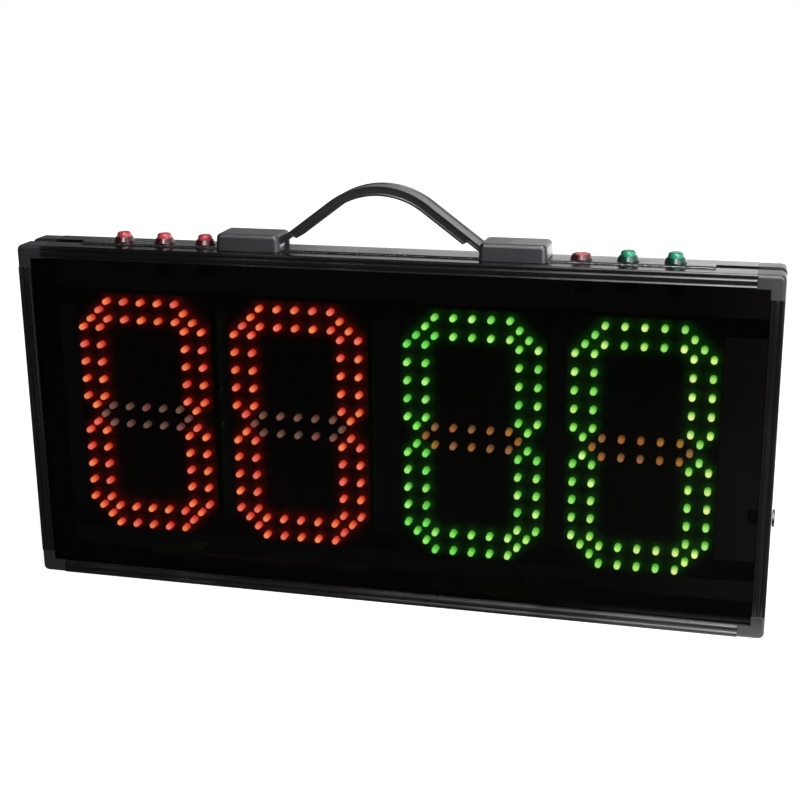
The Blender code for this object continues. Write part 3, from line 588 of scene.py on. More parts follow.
@dataclass(frozen=True)
class Finish:
    """How a surface is coloured, how glossy it is and what its skin looks like."""

    name: str
    slot: str
    colour: Colour
    roughness: float
    metallic: float = 0.0
    coat: float = 0.0
    ior: float = 1.5
    mottle: float = 0.12
    smudge: float = 0.06
    grain_scale: float = 900.0
    grain_depth: float = 0.00002
    wear: float = 0.35
    wear_colour: Colour = (0.12, 0.12, 0.13)
    dust: float = 0.05
    dust_colour: Colour = (0.45, 0.44, 0.42)
    dust_roughness: float = 0.6
    coat_roughness: float = 0.12

    def material(self) -> bpy.types.Material:
        """Give the material of this finish, built the first time it is asked for.

        Returns:
            The material.
        """
        found = bpy.data.materials.get(self.name)
        if found:
            return found
        material = bpy.data.materials.new(self.name)
        material.use_nodes = True
        material.diffuse_color = rgba(self.colour)
        self.wire(Graph(material.node_tree), material.node_tree.nodes["Principled BSDF"])
        return material

    def wire(self, graph: Graph, shader: bpy.types.Node) -> None:
        """Wire colour, roughness and relief into the shader.

        Args:
            graph: The material's graph.
            shader: Its Principled shader.
        """
        grain = graph.group(Effects.grain(), {"Scale": self.grain_scale})
        wear = graph.group(Effects.wear(), {"Amount": self.wear})["Mask"]
        dust = graph.group(Effects.dust(), {"Amount": self.dust})["Mask"]
        colour = graph.mix(wear, self.ground(graph, grain["Mottle"]), rgba(self.wear_colour))
        rough = graph.math(
            "ADD", self.gloss(graph, grain["Smudge"]), graph.times(dust, self.dust_roughness))
        bump = graph.node(
            "ShaderNodeBump", {"Height": self.relief(graph, grain["Height"]),
                               "Distance": self.grain_depth, "Strength": 1.0})
        graph.feed(shader, {
            "Base Color": graph.mix(dust, colour, rgba(self.dust_colour)), "Roughness": rough,
            "Normal": bump.outputs["Normal"], "Metallic": self.metallic, "IOR": self.ior,
            "Coat Weight": self.coat, "Coat Roughness": self.coat_roughness})

    def gloss(self, graph: Graph, smudge: Socket) -> Socket:
        """Give the roughness, duller where hands have smudged the surface."""
        return graph.spread(
            smudge, 0.0, 1.0, self.roughness - self.smudge, self.roughness + self.smudge)

    def ground(self, graph: Graph, mottle: Socket) -> Socket:
        """Give the surface's own colour, slightly mottled."""
        return graph.mix(
            mottle, rgba(self.colour, 1.0 - self.mottle), rgba(self.colour, 1.0 + self.mottle))

    def relief(self, graph: Graph, height: Socket) -> Socket:
        """Give the height of the surface's skin."""
        return height


@dataclass(frozen=True)
class BrushedFinish(Finish):
    """Metal that was brushed along the width of the board."""

    metallic: float = 1.0
    stretch: Point = (0.03, 1.0, 1.0)
    scratch_scale: float = 2600.0

    def relief(self, graph: Graph, height: Socket) -> Socket:
        """Give long fine scratches along X instead of an even grain.

        Args:
            graph: The material's graph.
            height: The height of an even grain.

        Returns:
            The height of the scratches.
        """
        stretched = graph.node(
            "ShaderNodeMapping", {"Vector": graph.place(), "Scale": self.stretch}).outputs[0]
        return graph.noise(stretched, self.scratch_scale, 2.0)


@dataclass(frozen=True)
class SleeveFinish(Finish):
    """Shrink sleeve that is drawn tight over a row of cells."""

    cell_length: float = 0.0655
    ring_depth: float = 8.0

    def relief(self, graph: Graph, height: Socket) -> Socket:
        """Give the rings where the sleeve sinks between two cells, with small wrinkles.

        Args:
            graph: The material's graph.
            height: The height of an even grain.

        Returns:
            The height of the rings and wrinkles.
        """
        turn = graph.times(graph.axes(graph.place())["X"], math.tau / self.cell_length)
        ring = graph.spread(graph.math("COSINE", turn), 0.97, 1.0)
        return graph.math("ADD", graph.times(ring, self.ring_depth), height)


@dataclass(frozen=True)
class GlowingFinish(Finish):
    """A surface that gives out light but isn't sampled as a lamp: the lamps' lenses, and the
    painted glow of their spill on the boards.
    """

    glow: float = 1.0

    def light(self, graph: Graph) -> Socket:
        """Give the colour of the light at each place: here the painted glow of the lamps' spill.
        """
        return graph.stored("painted_lamp_spill")

    def wire(self, graph: Graph, shader: bpy.types.Node) -> None:
        """Wire the surface and its light into the shader."""
        super().wire(graph, shader)
        graph.feed(shader, {"Emission Color": self.light(graph), "Emission Strength": self.glow})

    def material(self) -> bpy.types.Material:
        """Give the material, kept out of the sampling of lamps.

        Returns:
            The material.
        """
        material = super().material()
        material.cycles.emission_sampling = "NONE"
        return material


@dataclass(frozen=True)
class LampFinish(GlowingFinish):
    """Cast resin lens, lit from inside by the colour stored on its corners."""

    cloud_scale: float = 700.0
    cloud_tones: tuple[float, float] = (0.86, 1.0)

    def light(self, graph: Graph) -> Socket:
        """Give the stored light, slightly clouded by the resin.

        Args:
            graph: The material's graph.

        Returns:
            The colour of the light.
        """
        cloud = graph.spread(
            graph.noise(graph.place(), self.cloud_scale), 0.3, 0.7, *self.cloud_tones)
        return graph.node(
            "ShaderNodeVectorMath", {0: graph.stored("lamp_light"), "Scale": cloud},
            operation="SCALE").outputs["Vector"]


@dataclass(frozen=True)
class BoardFinish(GlowingFinish):
    """Black solder mask over copper tracks, with the lamps' spill of light painted on as glow."""

    track_width: float = 0.0004
    track_length: float = 0.00762
    track_step: float = 0.00254
    track_tone: float = 1.8

    def ground(self, graph: Graph, mottle: Socket) -> Socket:
        """Give the mask's colour, a little lighter over the tracks.

        Args:
            graph: The material's graph.
            mottle: The slow mottling of the surface.

        Returns:
            The colour of the surface.
        """
        place = graph.axes(graph.place())
        flat = graph.node("ShaderNodeCombineXYZ", {"X": place["X"], "Y": place["Z"]}).outputs[0]
        tracks = graph.node(
            "ShaderNodeTexBrick", {
                "Vector": flat, "Color1": (0, 0, 0, 1), "Color2": (0, 0, 0, 1),
                "Mortar": (1, 1, 1, 1), "Scale": 1.0, "Mortar Size": self.track_width,
                "Brick Width": self.track_length, "Row Height": self.track_step
            }).outputs["Color"]
        copper = rgba(self.colour, self.track_tone)
        return graph.mix(tracks, super().ground(graph, mottle), copper)


@dataclass(frozen=True)
class TintedFinish(Finish):
    """Smoke-tinted acrylic sheet with a slightly frosted skin."""

    def wire(self, graph: Graph, shader: bpy.types.Node) -> None:
        """Wire a faint haze into the roughness, and let light through.

        Args:
            graph: The material's graph.
            shader: Its Principled shader.
        """
        grain = graph.group(Effects.grain(), {"Scale": self.grain_scale})
        graph.feed(shader, {
            "Roughness": self.gloss(graph, grain["Smudge"]), "Base Color": rgba(self.colour),
            "Transmission Weight": 1.0, "IOR": self.ior})


class Finishes:
    """Every finish of the board."""

    FRAME = Finish(
        "frame_black_paint", "frame_black", (0.004, 0.004, 0.0045), 0.22, ior=1.45,
        grain_scale=1400.0, grain_depth=0.000006, wear=0.12, dust=0.008)
    CAP = Finish(
        "corner_moulding", "corner_plastic", (0.018, 0.018, 0.020), 0.36, ior=1.4,
        grain_scale=2200.0, grain_depth=0.00003, wear=0.15, wear_colour=(0.09, 0.09, 0.095),
        dust=0.02)
    # the strip's strong pale edge wear is partly real bare-metal wear and partly a painted
    # highlight that lights up its front edge
    STRIP = BrushedFinish(
        "strip_anodised", "strip_metal", (0.050, 0.051, 0.055), 0.28, metallic=0.6, ior=1.6,
        grain_depth=0.000004, wear=1.8, wear_colour=(0.42, 0.43, 0.45))
    PANEL = TintedFinish(
        "smoke_panel", "tinted_panel", (0.036, 0.034, 0.033), 0.05, ior=1.2, smudge=0.02)
    # the board glows with painted light: the stored spill round each lit lamp
    BOARD = BoardFinish(
        "solder_mask_black", "circuit_board", (0.010, 0.011, 0.011), 0.5, glow=15.0,
        grain_scale=1600.0, wear=0.0)
    RED_LAMP = LampFinish(
        "red_lens", "red_lamps", (0.30, 0.02, 0.012), 0.25, glow=31.0, mottle=0.05, wear=0.0,
        dust=0.0, grain_depth=0.000004)
    GREEN_LAMP = LampFinish(
        "green_lens", "green_lamps", (0.05, 0.28, 0.03), 0.25, glow=31.0, mottle=0.05, wear=0.0,
        dust=0.0, grain_depth=0.000004)
    PLATED = BrushedFinish(
        "plated_metal", "bright_metal", (0.55, 0.56, 0.58), 0.32, grain_depth=0.000006,
        wear_colour=(0.8, 0.8, 0.8), dust=0.08)
    # painted shade: the mounting bars take the dark of the shade behind the tinted panels instead
    # of their plated colour
    SHADE_DARK_BAR = BrushedFinish(
        "bar_painted_shade_dark", "bright_metal", (0.07, 0.07, 0.075), 0.5, grain_depth=0.000006,
        wear_colour=(0.15, 0.15, 0.15), dust=0.02)
    WRAP = SleeveFinish(
        "battery_sleeve", "battery_wrap", (0.02, 0.07, 0.22), 0.40, grain_scale=500.0,
        grain_depth=0.00005, wear=0.0)
    SOCKET = Finish(
        "socket_moulding", "socket_black", (0.014, 0.014, 0.015), 0.32, grain_scale=2600.0,
        wear=0.2)
    HANDLE = Finish(
        "handle_moulding", "handle_black", (0.021, 0.021, 0.023), 0.40, grain_scale=1900.0,
        grain_depth=0.00005, wear=0.25, wear_colour=(0.13, 0.13, 0.135), dust=0.06)
    STRAP = Finish(
        "strap_soft_moulding", "handle_black", (0.011, 0.0105, 0.0115), 0.38, grain_scale=1500.0,
        grain_depth=0.00006, wear=0.2, wear_colour=(0.11, 0.11, 0.115), dust=0.05)
    RED_COLLAR = Finish(
        "red_collar_gloss", "red_collar", (0.045, 0.008, 0.010), 0.30, metallic=0.2, coat=0.1,
        grain_depth=0.000004, wear=0.2, wear_colour=(0.4, 0.2, 0.2), dust=0.02)
    GREEN_COLLAR = Finish(
        "green_collar_gloss", "green_collar", (0.006, 0.032, 0.023), 0.30, metallic=0.2,
        coat=0.1, grain_depth=0.000004, wear=0.2, wear_colour=(0.2, 0.35, 0.3), dust=0.02)
    RED_BUTTON = Finish(
        "red_button_gloss", "red_button", (0.55, 0.065, 0.09), 0.40, coat=0.0,
        grain_depth=0.000006, wear=0.15, wear_colour=(0.8, 0.4, 0.4), dust=0.02)
    GREEN_BUTTON = Finish(
        "green_button_gloss", "green_button", (0.012, 0.20, 0.11), 0.40, coat=0.0,
        grain_depth=0.000006, wear=0.15, wear_colour=(0.3, 0.6, 0.5), dust=0.02)


@dataclass
class Frame:
    """Four extruded rails, four corner blocks and the strip that carries the switches.

    Each rail goes with how far the bottom of its grooves is from their outer edges.
    """

    rails: tuple[tuple[str, float], ...] = (
        ("top_rail", 0.0012), ("bottom_rail", 0.0018), ("left_rail", 0.00165),
        ("right_rail", 0.00165))
    corners: tuple[str, ...] = (
        "corner_cap_top_left", "corner_cap_top_right", "corner_cap_bottom_left",
        "corner_cap_bottom_right")
    strip: str = "switch_strip"
    edge: float = 0.0002
    edge_angle: float = 40.0
    smooth_angle: float = 38.0
    groove_depth: float = 0.0012
    groove_starts: tuple[float, float] = (0.0026, 0.0075)
    groove_width: float = 0.0026
    reach: float = 0.0002
    strip_chamfer: float = 0.0004
    strip_slope: tuple[float, float] = (0.0010, 0.0006)

    def build(self) -> None:
        """Shape and ease every rail, block and strip and dress them."""
        for node, foot in self.rails:
            self.ease(node, Finishes.FRAME, lambda piece: self.shape_rail(piece, foot))
        for node in self.corners:
            self.ease(node, Finishes.CAP)
        self.ease(self.strip, Finishes.STRIP, self.slope_edges)

    def ease(self, node: str, finish: Finish,
             shape: Callable[[Workpiece], None] | None = None) -> None:
        """Copy one solid, round its sharp edges slightly and mount the copy in its place.

        Args:
            node: The solid's node.
            finish: What it is dressed in.
            shape: What is done to the copy first, if anything.
        """
        piece = Workpiece.copy_of(node, node + "_eased")
        if shape:
            shape(piece)
        piece.ease(self.edge, self.edge_angle)
        piece.hand_over(finish, BOARD_BODY, node, self.smooth_angle)

    def shape_rail(self, piece: Workpiece, foot: float) -> None:
        """Draw each groove's two floor lines together into a V, then close the rail's seams.

        Args:
            piece: The rail.
            foot: How far the bottom of the V is from the groove's outer edge.
        """
        low, high = piece.span()
        floor = abs(low.y) - self.groove_depth
        side, inward = self.outer_side(low, high)
        for start in self.groove_starts:
            for wall in (self.groove_width - self.groove_depth, self.groove_depth):
                with piece.editing():
                    piece.shift(inward * (foot - wall), lambda place: (
                        abs(abs(place.y) - floor) < NEAR
                        and abs((place - side).dot(inward) - start - wall) < NEAR))
        piece.weld()
        self.close_seams(piece)

    def close_seams(self, piece: Workpiece) -> None:
        """Draw a rail's two ends out until they nearly touch the corner blocks.

        Args:
            piece: The rail.
        """
        low, high = piece.span()
        along = 0 if self.is_level(low, high) else 2
        for end, sign in ((low[along], -1), (high[along], 1)):
            by = Vector(ORIGIN)
            by[along] = sign * self.reach
            with piece.editing():
                piece.shift(by, lambda place: abs(place[along] - end) < NEAR)

    def slope_edges(self, piece: Workpiece) -> None:
        """Draw the strip's two long top edges in and down, into wider slopes.

        Args:
            piece: The strip.
        """
        low, high = piece.span()
        inward, down = self.strip_slope
        for side, sign in ((low.y, 1), (high.y, -1)):
            with piece.editing():
                piece.shift((0.0, sign * inward, 0.0), lambda place: (
                    high.z - place.z < NEAR
                    and abs(place.y - side) < self.strip_chamfer + NEAR))
                piece.shift((0.0, 0.0, -down), lambda place: (
                    place.z - low.z > NEAR and abs(place.y - side) < NEAR))

    def is_level(self, low: Vector, high: Vector) -> bool:
        """Say whether a rail runs along the board's width."""
        return high.x - low.x > high.z - low.z

    def outer_side(self, low: Vector, high: Vector) -> tuple[Vector, Vector]:
        """Find a rail's outer side.

        Args:
            low: The rail's lowest corner.
            high: Its highest corner.

        Returns:
            A point on its outer side and the direction from there to the board's middle.
        """
        if self.is_level(low, high):
            upper = low.z > high.z - low.z
            return Vector((0, 0, high.z if upper else low.z)), (-UP if upper else UP)
        right = low.x > 0
        return Vector((high.x if right else low.x, 0, 0)), Vector((-1 if right else 1, 0, 0))


@dataclass
class LampShades:
    """The tones of one colour of lamp: at its tip and its root when lit, and the painted glow
    that stands in for light on a lamp that is off.

    The drift is how much a lit tip gains for each metre to the right.
    """

    finish: Finish
    tips: Sequence[Colour]
    root: Colour
    # painted light: an unlit lamp still glows with one of these tones, in place of the light it
    # would catch
    unlit_painted_glow: Sequence[Colour]
    # colour of the painted glow round a lit lamp, standing in for its spill of light on the board
    spill: Colour
    drift: Colour = (0.0, 0.0, 0.0)


SHADES = {
    Light.RED: LampShades(
        finish=Finishes.RED_LAMP,
        tips=((0.86, 0.20, 0.125), (0.88, 0.225, 0.095), (0.82, 0.17, 0.13), (0.90, 0.26, 0.11)),
        root=(0.42, 0.020, 0.008),
        unlit_painted_glow=((0.19, 0.10, 0.075), (0.22, 0.085, 0.075), (0.15, 0.10, 0.07)),
        spill=(0.13, 0.002, 0.0)),
    Light.GREEN: LampShades(
        finish=Finishes.GREEN_LAMP,
        tips=((0.36, 0.90, 0.18), (0.50, 0.95, 0.22), (0.28, 0.84, 0.17), (0.62, 0.98, 0.30)),
        root=(0.05, 0.30, 0.02),
        unlit_painted_glow=((0.34, 0.12, 0.035), (0.30, 0.13, 0.06), (0.38, 0.17, 0.04)),
        spill=(0.0, 0.07, 0.002), drift=(3.0, 0.1, 1.4)),
}


@dataclass
class Digit:
    """One seven-segment digit: a circuit board with twelve lamps in each segment."""

    side: str
    number: int
    light: Light
    toward: float
    seed: int
    centre_z: float = 0.14675
    pitch: float = 0.01524
    thickness: float = 0.0016
    cells: tuple[int, int] = (32, 56)
    lamp_height: float = 0.0086
    lamp_radius: float = 0.0026
    flange_radius: float = 0.0029
    flange_height: float = 0.0009
    dome_angles: tuple[float, ...] = (28.0, 52.0, 74.0)
    lamp_sides: int = 10
    smooth_angle: float = 60.0
    # reach and cap of the painted pool of spill light round each lit lamp
    spill_reach: float = 0.0044
    spill_limit: float = 1.2
    light_rise: float = 1.7
    strengths: tuple[float, float] = (0.88, 1.06)
    drift_start: float = 0.145
    drift_limits: tuple[float, float] = (0.4, 1.6)
    # share of an unlit lamp's painted glow kept at its root, so the root reads as painted shade
    unlit_painted_root_share: float = 0.25

    def __post_init__(self) -> None:
        """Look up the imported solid, the side that carries the lamps and their places."""
        self.name = f"{self.side}_digit_{self.number}"
        self.node = f"{self.side}_digit_board_{self.number}"
        self.low, self.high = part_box(self.node)
        self.face = self.high.y if self.toward > 0 else self.high.y - self.thickness
        self.shades = SHADES[self.light]
        self.lamps = self.lay_out()

    def build(self) -> None:
        """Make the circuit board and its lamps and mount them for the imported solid."""
        plate = self.build_plate()
        lamps = self.build_lamps()
        plate.hand_over(Finishes.BOARD, BOARD_BODY, self.node)
        lamps.hand_over(self.shades.finish, BOARD_BODY, self.node)

    def lay_out(self) -> list[tuple[float, float, bool]]:
        """List the lamps: three rows and four columns of twelve.

        Returns:
            The X and Z of each lamp and whether it is lit.
        """
        segment = [(along, side) for side in (-0.5, 0.5) for along in range(-2, 3)]
        segment += [(-2.5, 0), (2.5, 0)]
        steps = [(along, row + side, row != 0) for row in (6, 0, -6) for along, side in segment]
        steps += [(column + side, middle + along, True)
                  for column in (-3, 3) for middle in (-3, 3) for along, side in segment]
        centre_x = (self.low.x + self.high.x) / 2
        return [(centre_x + x * self.pitch, self.centre_z + z * self.pitch, lit)
                for x, z, lit in steps]

    def build_plate(self) -> Workpiece:
        """Make the board: a fine grid on the lamp side, drawn back to its thickness.

        Returns:
            The board, with a painted glow for the lamps' spill of light stored on its corners.
        """
        back = -self.toward * self.thickness
        plate = Workpiece.sheet(
            self.name + "_board", (self.low.x, self.face, self.low.z),
            (self.high.x, self.face, self.high.z), self.cells)
        with plate.editing():
            bpy.ops.mesh.select_all(action="SELECT")
            plate.push((0.0, back, 0.0))
            plate.pick(Pick.FACES, lambda place, normal: (
                abs(place.y - (self.face + back)) < WELD))
            bpy.ops.mesh.dissolve_faces()
            bpy.ops.mesh.select_all(action="SELECT")
            bpy.ops.mesh.normals_make_consistent(inside=False)
        corners = np.array([v.co for v in plate.obj.data.vertices])
        # painted light: a pool of glow round each lit lamp, where its light would spill on the
        # board
        spill = np.zeros(len(corners))
        for x, z, lit in self.lamps:
            if lit:
                distance = (corners[:, 0] - x) ** 2 + (corners[:, 2] - z) ** 2
                spill += np.exp(-distance / self.spill_reach ** 2)
        spill = np.minimum(spill, self.spill_limit)[:, None]
        plate.paint_corners("painted_lamp_spill", spill * np.array(self.shades.spill))
        return plate

    def build_lamps(self) -> Workpiece:
        """Turn one lamp and set a copy of it at each place.

        Returns:
            All the lamps of the digit as one piece, with their light on their corners.
        """
        draw = random.Random(self.seed)
        first = self.turn_lamp()
        stand = Matrix.Rotation(-self.toward * math.pi / 2, 4, "X")
        heights = np.array([v.co.z for v in first.obj.data.vertices]) - self.flange_height
        sleeve = self.lamp_height - self.flange_height
        reach = np.clip(heights / sleeve, 0.0, 1.0)[:, None] ** self.light_rise
        copies = []
        for x, z, lit in self.lamps:
            # a lamp that is off gets a painted glow, not its own colour
            tip = np.array(draw.choice(self.shades.tips if lit else self.shades.unlit_painted_glow))
            tip = tip * draw.uniform(*self.strengths)
            if lit:
                drift = np.array(self.shades.drift) * (x - self.drift_start)
                tip = tip * np.clip(1.0 + drift, *self.drift_limits)
            # an unlit lamp's root is darker than its tip: painted shade below a painted highlight
            root = np.array(self.shades.root) if lit else tip * self.unlit_painted_root_share
            mesh = first.obj.data.copy()
            mesh.transform(Matrix.Translation((x, self.face, z)) @ stand)
            lamp = Workpiece(bring_in("lamp_copy", mesh), "lamp_copy")
            lamp.paint_corners("lamp_light", root[None, :] * (1 - reach) + tip[None, :] * reach)
            copies.append(lamp.obj)
        clear_bench()
        for obj in copies:
            obj.select_set(True)
        bpy.context.view_layer.objects.active = copies[0]
        bpy.ops.object.join()
        bpy.data.objects.remove(first.obj, do_unlink=True)
        return Workpiece(bpy.context.object, self.name + "_lamps")

    def turn_lamp(self) -> Workpiece:
        """Turn one round lamp: flange, straight sleeve and dome.

        Returns:
            The lamp, upright and with its foot at the origin.
        """
        shoulder = self.lamp_height - self.lamp_radius
        rings = [(self.flange_radius, 0.0), (self.flange_radius, self.flange_height),
                 (self.lamp_radius, self.flange_height), (self.lamp_radius, shoulder)]
        for turn in map(math.radians, self.dome_angles):
            rings.append((self.lamp_radius * math.cos(turn),
                          shoulder + self.lamp_radius * math.sin(turn)))
        lamp = Workpiece.turned("lamp", ORIGIN, self.lamp_sides, rings)
        lamp.smooth(self.smooth_angle)
        return lamp


@dataclass
class Display:
    """Both faces of the display: the tinted panels and four digits behind each."""

    digits: int = 4

    def build(self) -> None:
        """Build every digit, front and rear, and tint the panels."""
        for number in range(1, self.digits + 1):
            left_half = number <= self.digits / 2
            for place, (side, toward) in enumerate((("front", -1.0), ("rear", 1.0))):
                light = Light.RED if left_half == (side == "front") else Light.GREEN
                Digit(side, number, light, toward, number * 10 + place).build()
        paint(Finishes.PANEL, "front_panel", "rear_panel")


@dataclass
class Switch:
    """One push switch: a cone-shaped collar, its barrel and the button in its well."""

    number: int
    collar_finish: Finish
    button_finish: Finish
    well_depth: float
    barrel_radius: float = 0.00775
    collar_radius: float = 0.0085
    collar_height: float = 0.003
    collar_lift: float = 0.0011
    collar_rim: float = 0.0009
    edge: float = 0.0002
    lip: float = 0.0003
    well_radius: float = 0.0062
    button_radius: float = 0.0059
    stem_radius: float = 0.0024
    stem_length: float = 0.004
    stem_play: float = 0.0003
    crown: float = 0.0022
    crown_sink: float = 0.0001
    crown_angles: tuple[float, ...] = (18.0, 36.0, 54.0, 72.0, 90.0)
    shoulder: float = 0.0004
    dish: tuple[tuple[float, float], ...] = ((0.62, 0.0002), (0.3, 0.0003))
    sides: int = 40
    smooth_angle: float = 35.0

    def build(self) -> None:
        """Make the collar and the button of this switch."""
        self.turn(f"collar_{self.number}", f"switch_body_{self.number}", self.collar_rings,
                  self.collar_finish, BOARD_BODY)
        self.turn(f"push_button_{self.number}", f"button_{self.number}", self.button_rings,
                  self.button_finish, f"push_{self.number}")

    def turn(self, name: str, node: str, rings: Callable[[float], list[tuple[float, float]]],
             finish: Finish, body: str) -> None:
        """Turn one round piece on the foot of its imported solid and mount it.

        Args:
            name: The piece's name.
            node: The solid's node.
            rings: Gives the piece's rings for the solid's height.
            finish: What it is dressed in.
            body: The body that it rides on.
        """
        low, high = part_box(node)
        foot = Vector(((low.x + high.x) / 2, (low.y + high.y) / 2, low.z))
        piece = Workpiece.turned(name, foot, self.sides, rings(high.z - low.z))
        piece.hand_over(finish, body, node, self.smooth_angle)

    def collar_rings(self, height: float) -> list[tuple[float, float]]:
        """Give the rings of the barrel and of the cone-shaped collar with its well.

        Args:
            height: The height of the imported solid.

        Returns:
            The (radius, height) of each ring.
        """
        seat = height - self.collar_height
        ledge = seat + self.collar_rim
        top = height + self.collar_lift
        floor = top - (self.well_depth + self.collar_lift)
        mouth = self.well_radius + self.collar_rim
        bore = self.stem_radius + self.stem_play
        return [
            (self.barrel_radius, 0.0), (self.barrel_radius, seat),
            (self.collar_radius - self.edge, seat), (self.collar_radius, seat + self.edge),
            (self.collar_radius, ledge - self.edge), (self.collar_radius - self.edge, ledge),
            (mouth, top - self.edge), (mouth - self.lip, top),
            (self.well_radius + self.edge, top), (self.well_radius, top - self.edge),
            (self.well_radius, floor), (bore, floor), (bore, floor - self.stem_length)]

    def button_rings(self, top: float) -> list[tuple[float, float]]:
        """Give the rings of the button: stem, skirt, straight side and a dished crown.

        Args:
            top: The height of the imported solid.

        Returns:
            The (radius, height) of each ring.
        """
        radius = self.button_radius
        start = top - self.crown
        rings = [(self.stem_radius, 0.0), (self.stem_radius, self.stem_length),
                 (radius, self.stem_length), (radius, start - self.shoulder)]
        for turn in map(math.radians, self.crown_angles):
            rise = (self.crown + self.crown_sink) * math.sin(turn)
            rings.append((radius - self.crown * (1 - math.cos(turn)),
                          start - self.crown_sink + rise))
        return rings + [(radius * share, top - depth) for share, depth in self.dish]


@dataclass
class Controls:
    """The six push switches on the top edge; the first four are red, the fourth latches."""

    count: int = 6
    red: int = 4
    latching: int = 4
    well_depth: float = 0.0049
    latch_well_depth: float = 0.0055

    def build(self) -> None:
        """Build every switch and plate its nut."""
        for number in range(1, self.count + 1):
            is_red = number <= self.red
            Switch(
                number,
                Finishes.RED_COLLAR if is_red else Finishes.GREEN_COLLAR,
                Finishes.RED_BUTTON if is_red else Finishes.GREEN_BUTTON,
                self.latch_well_depth if number == self.latching else self.well_depth).build()
            paint(Finishes.PLATED, f"switch_nut_{number}")


